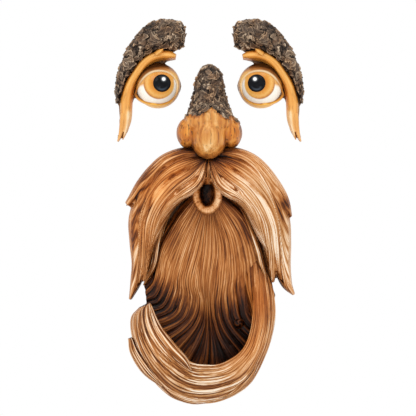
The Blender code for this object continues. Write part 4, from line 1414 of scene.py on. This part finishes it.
@dataclass(frozen=True)
class Lips:
    """The lips, a soft funnel of hair round the dark open mouth."""

    middle: tuple[float, float] = (-2.0, -5.5)
    outer: tuple[float, float] = (15.5, 19.5)
    opening: tuple[float, float] = (6.4, 11.5)
    rise: float = 1.8
    crest: float = 0.84
    floor: float = 0.014
    bridge: tuple[tuple[float, float, float, float], ...] = (
        (-1, 33.5, 6, 0.66), (-1, 27, 7, 0.78), (-1.5, 19, 7, 0.84), (-2, 11, 8, 0.82), (-2, 5.5, 7.5, 0.70),
    )

    def build(self, hair: bpy.types.Material, hollows: Hollows) -> bpy.types.Object:
        """Turns the lips' section round the mouth, and lays the hair of the lip above it.

        Args:
            hair: The painted finish.
            hollows: Feels how closed in the surface is.

        Returns:
            The lips' piece.
        """
        turn = np.linspace(0, 2 * math.pi, 145)[:-1]
        crest = self.crest * MOUSTACHE_DEPTH
        stops = [(1.0, 0.0), (1.0, crest - 0.016), (0.93, crest - 0.006), (0.78, crest - 0.0008),
                 (0.62, crest),
                 (0.40, crest - 0.0014), (0.18, crest - 0.005), (0.04, crest - 0.011), (0.0, crest - 0.018),
                 (-0.05, self.floor + 0.002), (-0.45, self.floor), (-0.98, self.floor)]
        section = spline(stops, 54)
        share, depth = section[:, 0], section[:, 1]
        big = np.stack([self.outer[0] * np.cos(turn), self.outer[1] * np.sin(turn)], axis=1)
        small = np.stack([self.opening[0] * np.cos(turn), self.opening[1] * np.sin(turn) + self.rise], axis=1)
        rows = []
        for s, d in zip(share, depth):
            flat = (small + (big - small) * s if s >= 0 else [0, self.rise]
                    + (small - [0, self.rise]) * (1 + s))
            flat = (flat + np.array(self.middle)) * MM
            rows.append(world(flat[:, 0], flat[:, 1], np.full(len(turn), max(d, SEAT))))
        points = np.array(rows)
        _, flip = grid_normals(points[6:30], off_trunk)
        grid_share = np.broadcast_to(share[:, None], points.shape[:2])
        clouds = Clouds(77)
        pores = step_between(0.66, 0.74, clouds.at(points / MM, 1.4))
        lines = clouds.at(np.stack(np.broadcast_arrays(6 * turn, 1.6 * grid_share, 0.5), axis=-1), 1.0)
        points[..., 1] += (0.5 * (1 - lines) + 0.3 * pores) * MM * step_between(0.05, 0.4, grid_share)
        # The paint darkens down into the mouth and on the outer skirt that runs under the hair round the
        # lips: painted shade. It is also darker along the top and lighter towards the right
        dark = step_between(0.36, -0.02, grid_share)
        top = step_between(0.0, 1.0, np.sin(turn))[None, :]
        skirt = step_between(0.72, 0.98, grid_share)
        flow = np.stack(np.broadcast_arrays(40 * turn[None, :], 14 * grid_share,
                                            np.full(points.shape[:2], 3.0)), axis=-1)
        skin = Skin()
        skin.add_grid(points, True, flip, (True, True), flow,
                      groove=0.74 - 0.45 * dark - 0.3 * (1 - lines) - 0.3 * pores,
                      paint=0.84 - 0.24 * dark - 0.20 * top - 0.16 * skirt
                      - 0.10 * np.cos(turn + math.pi)[None, :],
                      warm=0.45 + 0.2 * (1 - dark), cream=0.10, shade=0.2 * skirt)
        comb = Comb((5.0, 0.5), (2.0, 0.5), (1.0, 0.1), 0.6, 0.1, 61)
        # The lip's hair is darker at its top: painted shadow under the nose
        Lock(self.bridge, MOUSTACHE_DEPTH, squareness=0.8).carve(
            skin, comb, Airbrush(0.62, ((0, 36, 12, -0.30),)), Airbrush(0.7), Airbrush(0.1), hollows, 50)
        return dress(skin.build("lips"), hair, "feeder")


class BarkRelief:
    """Flakes of bark as a relief over any surface."""

    def __init__(self, seed: int, flake_mm: float = 6.4) -> None:
        """Sets the flakes' size.

        Args:
            seed: Picks one pattern.
            flake_mm: How wide a flake is.
        """
        self.seed = seed
        self.flake = flake_mm
        self.clouds = Clouds(seed)

    def layer(self, points_mm: Array, size: float, salt: float) -> tuple[Array, Array, Array]:
        """One layer of tilted flakes.

        Args:
            points_mm: The places.
            size: The flakes' size.
            salt: Tells this layer from the others.

        Returns:
            Each flake's height, the tilt across it and how near its border is, all about 0 to 1.
        """
        height, tilt, border = np.zeros(len(points_mm)), np.zeros(len(points_mm)), np.zeros(len(points_mm))
        for n, point in enumerate(points_mm):
            place = Vector(point) / size + Vector((salt, salt * 0.7, -salt))
            distances, cells = noise.voronoi(place, distance_metric="DISTANCE")
            cell = cells[0]
            lean = noise.cell_vector(cell * 7.31 + Vector((salt, 0, 0)))
            height[n] = noise.cell(cell * 5.17 + Vector((0, salt, 0)))
            tilt[n] = (place - cell).dot((lean - Vector((0.5, 0.5, 0.5))).normalized())
            border[n] = distances[1] - distances[0]
        return height, tilt, border

    def at(self, points: Array) -> tuple[Array, Array]:
        """The relief.

        Args:
            points: The places, in metres.

        Returns:
            How far the bark stands out, in metres, and its paint value from crevice to raised edge.
        """
        place = points / MM
        warp = np.stack([self.clouds.at(place + shift, 3.0) for shift in (0.0, 40.0, 80.0)], axis=-1) - 0.5
        place = place + 3.4 * warp
        big, lean, gap = self.layer(place, self.flake, 3.1 + self.seed)
        small, curl, crack = self.layer(place, 0.5 * self.flake, 9.7 + self.seed)
        grain = self.clouds.at(place, 0.9)
        swirl = self.clouds.at(place, 2.6)
        rib = np.exp(-((np.abs(swirl - 0.5) / 0.035) ** 2))
        joint = 1 - step_between(0.0, 0.12, gap)
        slit = 1 - step_between(0.0, 0.10, crack)
        stand = (1.2 * big + 2.1 * lean + 0.2 * small + 0.6 * curl - 1.3 * joint - 0.3 * slit + 0.2 * grain
                 + 0.3 * rib)
        # The paint darkens in the joints and slits: dark joints in the bark, and also painted shadow beside
        # the lifted edges
        tone = 0.42 + 0.22 * lean + 0.14 * curl + 0.16 * (big - 0.5) - 0.34 * joint - 0.14 * slit + 0.16 * rib
        edge = step_between(0.15, 0.45, lean) * step_between(0.30, 0.10, gap)
        rim = step_between(0.15, 0.45, curl) * step_between(0.26, 0.08, crack)
        tone = tone + 0.60 * edge * (1 - joint) + 0.20 * rim * (1 - slit)
        return stand * MM, np.clip(tone, 0, 1)


def scatter_chips(skin: Skin, points: Array, normals: Array, count: int, size: float, seed: int) -> None:
    """Lays curled flakes of bark over a surface.

    Args:
        skin: Where the flakes go.
        points: Places on the surface.
        normals: The outward direction at each.
        count: How many flakes.
        size: A middling flake's length.
        seed: Picks one pattern.
    """
    rng = np.random.default_rng(seed)
    for index in rng.integers(0, len(points), count):
        out = Vector(normals[index])
        side = out.orthogonal().normalized()
        side.rotate(Matrix.Rotation(rng.uniform(0, 2 * math.pi), 3, out))
        other = out.cross(side)
        length, width = size * rng.uniform(0.6, 1.4), size * rng.uniform(0.18, 0.36)
        along, across = np.meshgrid(np.linspace(-0.5, 0.5, 9), np.linspace(-1, 1, 7), indexing="ij")
        ragged = 1 + 0.35 * np.repeat(rng.uniform(-1, 1, 9)[:, None], 7, axis=1)
        shape = width * ragged * (1 - 2.2 * along ** 2)
        bend = 0.35 * size * rng.uniform(-1, 1) * along ** 2 * 4
        curl = rng.uniform(0.2, 1.0) * np.clip(across * rng.choice([-1, 1]) + 0.3, 0, 2) ** 2
        rise = size * (0.03 + 0.07 * rng.uniform(0, 1) * (along + 0.5) + 0.07 * curl)
        top = (np.array(points[index]) + (along * length)[..., None] * np.array(side)
               + (across * shape + bend)[..., None] * np.array(other) + rise[..., None] * np.array(out))
        under = top - 0.0004 * np.array(out)
        ring = np.concatenate([top, under[:, ::-1]], axis=1)
        pale = rng.uniform(0.20, 0.45)
        tone = pale + 0.34 * np.abs(across) ** 4 + 0.20 * np.clip(curl, 0, 1)
        # The flakes' undersides are painted near black: painted shade under them
        tone = np.concatenate([tone, np.full((9, 7), 0.08)], axis=1)
        _, flip = grid_normals(ring[:, :7], lambda p: np.broadcast_to(np.array(out), p.shape))
        skin.add_grid(ring, True, flip, (True, True), groove=tone)


def fuse(skin: Skin, voxel: float, rounds: int) -> bpy.types.Mesh:
    """Melts a skin's overlapping forms into one.

    Args:
        skin: The forms, each closed.
        voxel: How fine the new mesh is.
        rounds: How often it is smoothed.

    Returns:
        The new mesh.
    """
    made = skin.build("fusing")
    voxels = made.modifiers.new("One skin", "REMESH")
    voxels.mode = "VOXEL"
    voxels.voxel_size = voxel
    soften = made.modifiers.new("Soft joints", "SMOOTH")
    soften.factor = 0.5
    soften.iterations = rounds
    mesh = bpy.data.meshes.new_from_object(made.evaluated_get(bpy.context.evaluated_depsgraph_get()))
    bpy.data.objects.remove(made)
    return mesh


def mesh_arrays(mesh: bpy.types.Mesh) -> tuple[Array, Array]:
    """A mesh's points and normals as arrays."""
    points = np.empty(len(mesh.vertices) * 3, np.float32)
    normals = np.empty(len(mesh.vertices) * 3, np.float32)
    mesh.vertices.foreach_get("co", points)
    mesh.vertex_normals.foreach_get("vector", normals)
    return points.reshape(-1, 3).astype(float), normals.reshape(-1, 3).astype(float)


@dataclass(frozen=True)
class Nose:
    """The nose: two nostrils and a round tip in bare wood, and a bridge under bark."""

    foot: float = 30.6
    depth: float = NOSE_DEPTH
    bridge: tuple[tuple[float, float, float], ...] = (
        (9, 12, 0.30), (14, 20, 0.45), (22, 25, 0.56), (32, 26, 0.62), (42, 24, 0.64), (50, 21, 0.65),
        (58, 18, 0.64), (66, 16.5, 0.62), (74, 14.5, 0.58), (81, 13, 0.52), (87.5, 11, 0.44), (92, 8, 0.36),
        (94.5, 3, 0.26),
    )
    bulbs: tuple[tuple[float, float, float, float, float, float], ...] = (
        (-0.5, 21.5, 18.0, 21.5, 0.56, 0.44), (-21.5, 26.5, 11.5, 15.5, 0.42, 0.33),
        (21.5, 26.5, 11.5, 15.5, 0.42, 0.33),
        (-11, 37, 14, 13, 0.50, 0.39), (11, 37, 14, 13, 0.50, 0.39), (0, 42, 17, 15, 0.52, 0.42),
    )
    bark_edge: tuple[tuple[float, float], ...] = (
        (-34, 37), (-29.3, 39.8), (-20.3, 43.4), (-12, 42.4), (-3.3, 45.9), (2.7, 51.5), (7.3, 45.9),
        (16.7, 40.4),
        (21.7, 42.4), (29.7, 36.5), (34, 34),
    )

    def core(self) -> bpy.types.Mesh:
        """The smooth body, before grain and bark."""
        skin = Skin()
        for across, up, half_across, half_up, depth, half_depth in self.bulbs:
            skin.add_ellipsoid((across * MM, up * MM, depth * self.depth),
                               (half_across * MM, half_up * MM, half_depth * self.depth))
        turn = np.linspace(0, math.pi, 60)
        rings = []
        for up, half, deep in spline(self.bridge, 60):
            depth = SEAT + np.sin(turn) ** 0.8 * (deep * self.depth - SEAT)
            rings.append(world(np.cos(turn) * half * MM, np.full_like(turn, up * MM), depth))
        points = np.array(rings)
        _, flip = grid_normals(points, off_trunk)
        skin.add_grid(points, True, flip, (True, True))
        return fuse(skin, 0.00074, 40)

    def build(self, finish: bpy.types.Material, bark: bpy.types.Material,
              hollows: Hollows) -> list[bpy.types.Object]:
        """Carves the nose.

        Args:
            finish: Wood and bark in one finish.
            bark: The finish of the loose chips.
            hollows: Feels how closed in the surface is.

        Returns:
            The nose and its chips.
        """
        mesh = self.core()
        points, normals = mesh_arrays(mesh)
        clouds = Clouds(31)
        across_mm, up_mm = points[:, 0] / MM, points[:, 2] / MM
        edge = np.interp(across_mm, [p[0] for p in self.bark_edge], [p[1] for p in self.bark_edge])
        ragged = 5.0 * (clouds.at(points / MM, 3.2) - 0.5) + 2.6 * (clouds.at(points / MM + 20, 1.3) - 0.5)
        above = up_mm - edge + ragged
        cover = step_between(-0.4, 1.0, above)
        stand, tone = BarkRelief(2).at(points)
        grain = clouds.at(points / MM * [1.0, 1.0, 0.07] + 7, 1.1) - 0.5
        swirl = clouds.at(points / MM * [1.0, 1.0, 0.16] + 3, 3.4) - 0.5
        wood = (0.35 * grain + 0.5 * swirl) * MM
        moved = wood * (1 - cover) + cover * (0.0002 + stand)
        points = points + normals * moved[:, None]
        shade = hollows.at(points + [0, 0, self.foot * MM], normals)
        points[:, 1] = np.minimum(points[:, 1], -SEAT)
        # The wood is lighter in a spot low on the tip and on each nostril, painted highlights; darker just
        # under the bark, in the creases beside the tip and along the bottom, painted shade; and darker at the
        # nostrils' outer edges
        shadow_under_bark = step_between(-3.5, 0.0, above) * (1 - cover)
        lobe = np.abs(across_mm)
        crease = np.exp(-((lobe - 17.0) / 2.2) ** 2) * (1 - step_between(16, 27, up_mm))
        tone_with_painted_light = (0.53 + 0.24 * np.exp(-((across_mm + 2) ** 2 + (up_mm - 12) ** 2) / 50)
                       - 0.26 * shadow_under_bark
                       - 0.24 * crease - 0.20 * step_between(9, 1, up_mm) - 0.20 * step_between(25, 33, lobe)
                       + 0.14 * np.exp(-((lobe - 22) / 3) ** 2 - ((up_mm - 27) / 8) ** 2))
        warm = (0.60 + 0.4 * np.exp(-((lobe - 22) / 8) ** 2 - ((up_mm - 26) / 10) ** 2)
                - 0.2 * np.exp(-(lobe / 12) ** 2))
        carve_mesh(mesh, points, bark=cover, groove=tone, paint=tone_with_painted_light, warm=np.clip(warm, 0, 1),
                   cream=0.45 + 0.5 * step_between(12, 22, lobe), shade=shade)
        mesh.transform(Matrix.Translation((0, 0, self.foot * MM)))
        nose = dress(link("nose_carved", mesh), finish, "nose")
        chosen = (above > 1.5) & (normals[:, 1] < -0.35) & (up_mm < 86)
        skin = Skin()
        scatter_chips(skin, points[chosen] + [0, 0, self.foot * MM], normals[chosen], 46, 0.0080, 4)
        chips = dress(skin.build("nose_bark_chips"), bark, "nose")
        return [nose, chips]


@dataclass(frozen=True)
class Eye:
    """One eye under its brow, drawn as the left one about the middle of its eyeball."""

    depth: float = EYE_DEPTH
    out: float = 52.1
    up: float = 105.68
    ball: float = 22.4
    lid: float = 22.8
    middle: float = 0.26
    pupil: tuple[float, float, float] = (4.7, 1.3, 8.9)
    iris: tuple[float, float, float] = (1.6, 0.8, 15.3)
    opening: tuple[tuple[float, float], ...] = (
        (-21.4, -8.5), (-18.2, -1.5), (-15.0, 3.8), (-11.0, 8.2), (-5.4, 11.6), (1, 12.9), (8.4, 12.2),
        (14.2, 9.2),
        (18, 4.2), (19.2, -1), (17.6, -9), (12.4, -15.2), (4.4, -18.3), (-4, -18.1), (-12.3, -16.2),
        (-18.4, -12.8),
    )
    brow: tuple[tuple[float, float, float, float], ...] = (
        (27.5, 50, 9, 0.66), (22, 50.5, 14, 0.86), (13, 51, 16.5, 0.97), (0.5, 49.5, 16.5, 1.0),
        (-10.5, 43.5, 14, 0.98), (-23.7, 30, 10, 0.90), (-32.6, 14, 7.5, 0.76), (-37.2, 2, 5.8, 0.62),
        (-39.6, -8, 4, 0.52), (-40.6, -18, 1.5, 0.42),
    )
    strip: tuple[tuple[float, float, float, float], ...] = (
        (18.5, 28.8, 2.9, 0.68), (12, 30, 5.0, 0.76), (4, 30, 5.2, 0.78), (-5, 27.8, 5.6, 0.78),
        (-13.5, 21.8, 5.7, 0.76), (-20.8, 12.4, 5.6, 0.70), (-27.4, 0.8, 5.9, 0.62), (-30.8, -11, 6.2, 0.55),
        (-31.9, -20, 6.4, 0.49), (-32.2, -32, 6.0, 0.43), (-33.0, -40, 4.8, 0.38), (-34.4, -47, 2.8, 0.33),
    )
    prongs: tuple[tuple[tuple[float, float, float, float], ...], ...] = (
        ((-35.4, -28, 2.8, 0.43), (-36.2, -41, 3.0, 0.39), (-37.9, -50, 2.3, 0.34),
         (-40.6, -56.5, 1.0, 0.28)),
        ((-29.8, -28, 2.8, 0.43), (-31.2, -41, 2.6, 0.38), (-33.2, -48, 1.8, 0.33),
         (-35.6, -54.5, 0.6, 0.27)),
        ((-2, 30, 4, 0.82), (2.5, 33, 3.6, 0.92), (6, 35.5, 1.2, 0.94)),
    )

    @property
    def left(self) -> Array:
        """The place on the trunk behind the middle of the left eyeball."""
        return np.array([-self.out * MM, 0, self.up * MM])

    def finished(self, skin: Skin, form: str, side: Side, finish: bpy.types.Material) -> bpy.types.Object:
        """Puts a form on its side of the face, paints it and ties it to the frame.

        Args:
            skin: The form, drawn for the left eye.
            form: The first part of the piece's name.
            side: Which eye.
            finish: The form's finish.

        Returns:
            The piece.
        """
        name = side.name.lower()
        offset = (side.value * self.out * MM, 0.0, self.up * MM)
        piece = skin.build(f"{form}_{name}", side is Side.RIGHT, offset)
        return dress(piece, finish, f"eye_{name}")

    def ball_front(self, ray: Array) -> Array:
        """The eyeball's depth at a distance from its middle."""
        share = np.clip(ray / (self.ball * MM), 0, 1)
        return self.middle * self.depth + 0.62 * self.depth * np.sqrt(1 - share ** 2)

    def build_ball(self, side: Side, finish: bpy.types.Material) -> bpy.types.Object:
        """The eyeball, painted with its iris."""
        turn = np.linspace(0, 2 * math.pi, 129)[:-1]
        ray = np.sin(np.linspace(0.001, 0.5 * math.pi, 60)) * self.ball * MM
        grid_turn, grid_ray = np.meshgrid(turn, ray)
        across, up = grid_ray * np.cos(grid_turn), grid_ray * np.sin(grid_turn)
        depth = self.ball_front(grid_ray)
        points = world(across, up, depth)
        rim = spline(self.opening + self.opening[:1], 200)[:-1] * MM
        edge = np.interp(np.unwrap(grid_turn), *self.rim_reach(rim))
        inside = (edge - grid_ray) / MM
        centre_x, centre_z, radius = self.iris
        flow = np.stack([(across / MM - centre_x) / radius, (up / MM - centre_z) / radius,
                         np.zeros_like(across)], axis=-1)
        _, flip = grid_normals(points, off_trunk)
        skin = Skin()
        # The groove value falls towards the lids' rim, so the white darkens there, and shade darkens under
        # the upper lid: both painted shade
        skin.add_grid(points, True, flip, (True, False), flow, groove=np.clip(0.40 + 0.50 * inside, 0, 1),
                      shade=np.exp(-np.maximum(inside, 0) / 0.8) * (0.25 + 0.25 * np.sin(grid_turn)))
        return self.finished(skin, "eyeball", side, finish)

    def rim_reach(self, rim: Array) -> tuple[Array, Array]:
        """The opening's angle and reach, in rising order of angle, for a look-up over a full turn."""
        angle = np.arctan2(rim[:, 1], rim[:, 0]) % (2 * math.pi)
        order = np.argsort(angle)
        reach = np.linalg.norm(rim, axis=1)
        angle, reach = angle[order], reach[order]
        return (np.concatenate([angle[-1:] - 2 * math.pi, angle, angle[:1] + 2 * math.pi]),
                np.concatenate([reach[-1:], reach, reach[:1]]))

    def build_pupil(self, side: Side, finish: bpy.types.Material) -> bpy.types.Object:
        """The gloss pupil, a low dome on the eyeball."""
        centre_x, centre_z, radius = self.pupil
        turn, rise = np.meshgrid(np.linspace(0, 2 * math.pi, 97)[:-1], np.linspace(0.02, 0.5 * math.pi, 24))
        across = (centre_x + radius * np.sin(rise) * np.cos(turn)) * MM
        up = (centre_z + radius * np.sin(rise) * np.sin(turn)) * MM
        depth = self.ball_front(np.hypot(across, up)) + 0.0012 * np.cos(rise) ** 0.8 - 0.0001
        points = world(across, up, depth)
        _, flip = grid_normals(points, off_trunk)
        skin = Skin()
        flow = np.stack([np.sin(rise) * np.cos(turn), np.sin(rise) * np.sin(turn), np.zeros_like(turn)],
                        axis=-1)
        skin.add_grid(points, True, flip, (True, False), flow)
        return self.finished(skin, "pupil", side, finish)

    def build_lids(self, side: Side, finish: bpy.types.Material, hollows: Hollows) -> bpy.types.Object:
        """The two eyelids, rolled over the eyeball's edge."""
        turn = np.linspace(0, 2 * math.pi, 241)[:-1]
        rim = spline(self.opening + self.opening[:1], 400)[:-1] * MM
        reach = np.interp(turn, *self.rim_reach(rim))
        radius = np.maximum(self.lid * MM, reach + 0.0026)
        dome, middle = 0.66 * self.depth, self.middle * self.depth

        def lid_front(ray: Array) -> Array:
            """The lid's depth at a distance from the middle."""
            return middle + dome * np.sqrt(np.clip(1 - (ray / radius) ** 2, 0, 1))

        rows = [(reach - 0.0008, np.maximum(self.ball_front(reach) - 0.003, SEAT)),
                (reach - 0.0008, self.ball_front(reach - 0.0008) - 0.0004)]
        base = lid_front(np.minimum(reach + 0.0012, radius * 0.985))
        for angle in np.linspace(math.pi, 0.32 * math.pi, 9):
            rows.append((reach + 0.0012 + 0.0016 * math.cos(angle), base - 0.0006 + 0.0012 * math.sin(angle)))
        start = rows[-1][0]
        for share in np.linspace(0.06, 1, 26):
            ray = start + (radius - start) * math.sin(0.5 * math.pi * share)
            rows.append((ray, lid_front(ray) + 0.0006 * (1 - share) ** 2))
        rows.append((radius, np.full(len(turn), SEAT)))
        points = np.array([world(r * np.cos(turn), r * np.sin(turn), d) for r, d in rows])
        normals, flip = grid_normals(points, lambda p: p - np.array([0.0, -middle, 0.0]))
        shade = hollows.over_grid(points + self.left, normals)
        upper = np.clip(0.5 + 1.5 * (np.sin(turn + 0.25) + 0.16), 0, 1)[None, :]
        off_mm = np.array([ray - reach for ray, _ in rows]) / MM
        line = np.exp(-((off_mm - 0.6) / 1.2) ** 4) * 0.85 * upper
        crease = np.exp(-((off_mm + 0.6) / 0.5) ** 2)
        # The upper lid darkens from 2 to 7 mm off its rim, painted shade under the wood strip, and is lighter
        # towards its end nearer the nose, a painted highlight; the crease where the lower lid meets the
        # eyeball is darker, painted shade
        tone = 0.66 - 0.24 * upper + 0.08 * np.exp(-((off_mm - 3.0) / 1.6) ** 2) - 0.25 * crease * (1 - upper)
        tone = (tone - 0.26 * step_between(2.0, 7.0, off_mm) * upper
                + 0.25 * upper * step_between(-0.2, 0.9, np.cos(turn)))
        skin = Skin()
        shape = points.shape[:2]
        orange = np.maximum(1 - upper, step_between(0.5, 1.0, np.cos(turn))[None, :])
        skin.add_grid(points, True, flip, (False, False), groove=np.full(shape, 0.5),
                      paint=np.broadcast_to(tone, shape), warm=np.broadcast_to(orange, shape),
                      cream=np.broadcast_to(line, shape), shade=shade)
        return self.finished(skin, "eyelids", side, finish)

    def build_strip(self, side: Side, finish: bpy.types.Material, hollows: Hollows) -> bpy.types.Object:
        """The bare wood under the bark, which runs down into the split tail."""
        skin = Skin()
        shift = np.array([-self.out, self.up])
        # A thin pale, less orange streak down the tail is a painted highlight; the tail's end is darker and
        # less orange
        streak = [(-81 - 4.5 * share ** 2, 79 - 23 * share) for share in np.linspace(0, 1, 12)]
        tone = Airbrush(0.82, ((-85, 64, 13, -0.20), *[(x, z, 2.0, 0.18) for x, z in streak]))
        warm = Airbrush(0.92, ((-86, 60, 18, -0.30), *[(x, z, 2.0, -0.25) for x, z in streak]))
        cream = Airbrush(0.25)
        for number, spine in enumerate((self.strip, *self.prongs)):
            moved = [(x + shift[0], z + shift[1], half, crest) for x, z, half, crest in spine]
            comb = Comb((7.5, 0.35), (3.1, 0.28), (1.2, 0.08), 0.8, 0.15, 40)
            Lock(moved, self.depth, squareness=0.6, along_step=0.0009, across_step=0.0006).carve(
                skin, comb, tone, warm, cream, hollows, number)
        skin.points = [grid - self.left for grid in skin.points]
        return self.finished(skin, "brow_wood", side, finish)

    def build_bark(self, side: Side, finish: bpy.types.Material, hollows: Hollows) -> bpy.types.Object:
        """The brow's bark, flaked all over, with curled chips on it."""
        lock = Lock(self.brow, self.depth, along_step=0.0007, across_step=0.0007)
        stations = round(run_length(spline(self.brow, 60)[:, :2])[-1] * MM / lock.along_step)
        rows = spline(self.brow, stations)
        centre, half, crest = rows[:, :2] * MM, rows[:, 2] * MM, rows[:, 3] * self.depth
        along = np.gradient(centre, axis=0)
        along /= np.linalg.norm(along, axis=1, keepdims=True)
        sideways = np.stack([-along[:, 1], along[:, 0]], axis=1)
        across, arch, _ = lock.section(half.mean(), (crest + BEHIND).mean())
        flat = centre[:, None, :] + (across[None, :] * half[:, None])[..., None] * sideways[:, None, :]
        depth = -BEHIND + (crest + BEHIND)[:, None] * arch[None, :]
        points = world(flat[..., 0], flat[..., 1], depth)
        middle = world(centre[:, None, 0], centre[:, None, 1], np.full((stations, 1), -BEHIND))
        normals, flip = grid_normals(points, lambda p: p - middle)
        shape = points.shape[:2]
        stand, tone = BarkRelief(5).at(points.reshape(-1, 3))
        stand, tone = stand.reshape(shape), tone.reshape(shape)
        fade = step_between(0.0, 0.5, half / half.max())[:, None]
        points = points + normals * ((stand - 0.0008) * (0.4 + 0.6 * fade))[..., None]
        shade = hollows.over_grid(points + self.left, normals)
        points[..., 1] = np.minimum(points[..., 1], -SEAT)
        skin = Skin()
        skin.add_grid(points, True, flip, (True, True), groove=tone, shade=shade)
        chosen = (normals[..., 1] < -0.4) & (half > 0.4 * half.max())[:, None]
        scatter_chips(skin, points[chosen], normals[chosen], 56, 0.0088, 8)
        return self.finished(skin, "brow_bark", side, finish)


@dataclass(frozen=True)
class Back:
    """A casting's plain flat back, set in a little from its outline."""

    inset: float = 0.0016
    thickness: float = 0.004

    @staticmethod
    def drop(work: bmesh.types.BMesh, faces: list[bmesh.types.BMFace]) -> None:
        """Deletes faces, and the points that are left with no face."""
        bmesh.ops.delete(work, geom=faces, context="FACES")
        loose = [v for v in work.verts if not v.link_faces]
        bmesh.ops.delete(work, geom=loose, context="VERTS")

    def build(self, node: str, slot: str, finish: bpy.types.Material) -> bpy.types.Object:
        """Takes the outline from the CAD solid's back.

        Args:
            node: The CAD node.
            slot: The record's slot of that node, not used.
            finish: The back's finish.

        Returns:
            The back's piece.
        """
        work = bmesh.new()
        work.from_mesh(bpy.data.objects[node].data)
        bmesh.ops.remove_doubles(work, verts=work.verts, dist=1e-6)
        off = [f for f in work.faces if any(abs(v.co.y) > 1e-5 for v in f.verts)]
        self.drop(work, off)
        bmesh.ops.dissolve_faces(work, faces=work.faces[:], use_verts=False)
        edge = bmesh.ops.inset_region(work, faces=work.faces[:], thickness=self.inset, use_even_offset=False)
        self.drop(work, edge["faces"])
        whole = bmesh.ops.extrude_face_region(work, geom=work.faces[:])
        front = [v for v in whole["geom"] if isinstance(v, bmesh.types.BMVert)]
        bmesh.ops.translate(work, verts=front, vec=(0, -self.thickness, 0))
        bmesh.ops.recalc_face_normals(work, faces=work.faces[:])
        mesh = bpy.data.meshes.new(f"{node}_back")
        work.to_mesh(mesh)
        work.free()
        return dress(link(f"{node}_back", mesh), finish, node)


@dataclass(frozen=True)
class Studio:
    """The pale floor, the soft lights and the camera."""

    centre: tuple[float, float, float] = (-0.0013, -0.03, -0.018)
    width: float = 0.416
    lens: float = 180.0
    sensor: float = 36.0
    floor: float = -0.32

    def build(self) -> None:
        """Sets the stage."""
        scene = bpy.context.scene
        scene.view_settings.view_transform = "Standard"
        world_light = bpy.data.worlds.new("studio")
        world_light.use_nodes = True
        background = world_light.node_tree.nodes["Background"]
        background.inputs["Color"].default_value = (1, 1, 1, 1)
        background.inputs["Strength"].default_value = 1.0
        scene.world = world_light
        camera = bpy.data.objects.new("camera", bpy.data.cameras.new("camera"))
        camera.data.lens = self.lens
        camera.data.sensor_width = self.sensor
        away = self.width * self.lens / self.sensor
        camera.location = (self.centre[0], self.centre[1] - away, self.centre[2])
        camera.rotation_euler = (math.pi / 2, 0, 0)
        camera.data.clip_start = 0.01
        scene.collection.objects.link(camera)
        scene.camera = camera
        self.light("key", (-0.45, -1.1, 0.95), 0.7, 3.0)
        self.light("top", (0.2, -0.7, 1.1), 0.5, 1.2)
        self.light("low", (0.1, -1.3, -0.30), 0.35, 0.8)
        bpy.ops.mesh.primitive_circle_add(vertices=96, radius=0.5, fill_type="NGON",
                                          location=(0, 0, self.floor))
        disc = bpy.context.object
        disc.name = "floor"
        g = Graph("pale_floor")
        soft = g.noise(g.place(), 6, 2)
        colour = g.ramp(soft, ((0.3, (236, 236, 236)), (0.7, (240, 240, 240))))
        disc.data.materials.append(g.finish(colour, 0.9))

    def light(self, name: str, place: tuple[float, float, float], size: float, watts: float) -> None:
        """Adds a round soft light aimed at the face."""
        lamp = bpy.data.objects.new(name, bpy.data.lights.new(name, "AREA"))
        lamp.data.shape = "DISK"
        lamp.data.size = size
        lamp.data.energy = watts
        lamp.location = place
        aim = Vector(self.centre) - Vector(place)
        lamp.rotation_euler = aim.to_track_quat("-Z", "Y").to_euler()
        bpy.context.scene.collection.objects.link(lamp)


def main() -> None:
    """Builds the face, piece by piece."""
    logging.basicConfig(level=logging.INFO, format="%(name)s %(message)s")
    Studio().build()
    slots = {"feeder": "beard_resin", "nose": "nose_resin", "eye_left": "brow_resin",
             "eye_right": "brow_resin"}
    hollows = Hollows(tuple(slots))
    hair = PaintedHair("painted_moustache").make()
    combed = PaintedHair("painted_beard", contrast=0.55, streaks=0.30, shaded=0.62, rough=0.40).make()
    brushed = PaintedHair("painted_bowl", contrast=0.78, streaks=0.36, shaded=0.50, rough=0.46).make()
    wood = GoldenWood("golden_wood", 0.8, along_flow=True).make()
    bark = Bark("dark_bark").make()
    both = BarkAndWood("bark_over_wood").make()
    eye_paint = EyePaint("amber_eye").make()
    lid_paint = LidPaint("painted_lids").make()
    gloss = Gloss("black_gloss").make()
    raw = RawBack("plain_back").make()
    for side in Side:
        Moustache().build(side, hair, hollows)
    Beard().build(combed, hollows)
    Bowl().build(brushed, hollows)
    Lips().build(hair, hollows)
    Nose().build(both, bark, hollows)
    eye = Eye()
    for side in Side:
        eye.build_ball(side, eye_paint)
        eye.build_pupil(side, gloss)
        eye.build_lids(side, lid_paint, hollows)
        eye.build_strip(side, wood, hollows)
        eye.build_bark(side, bark, hollows)
    for node, slot in slots.items():
        Back().build(node, slot, raw)


if __name__ == "__main__":
    main()
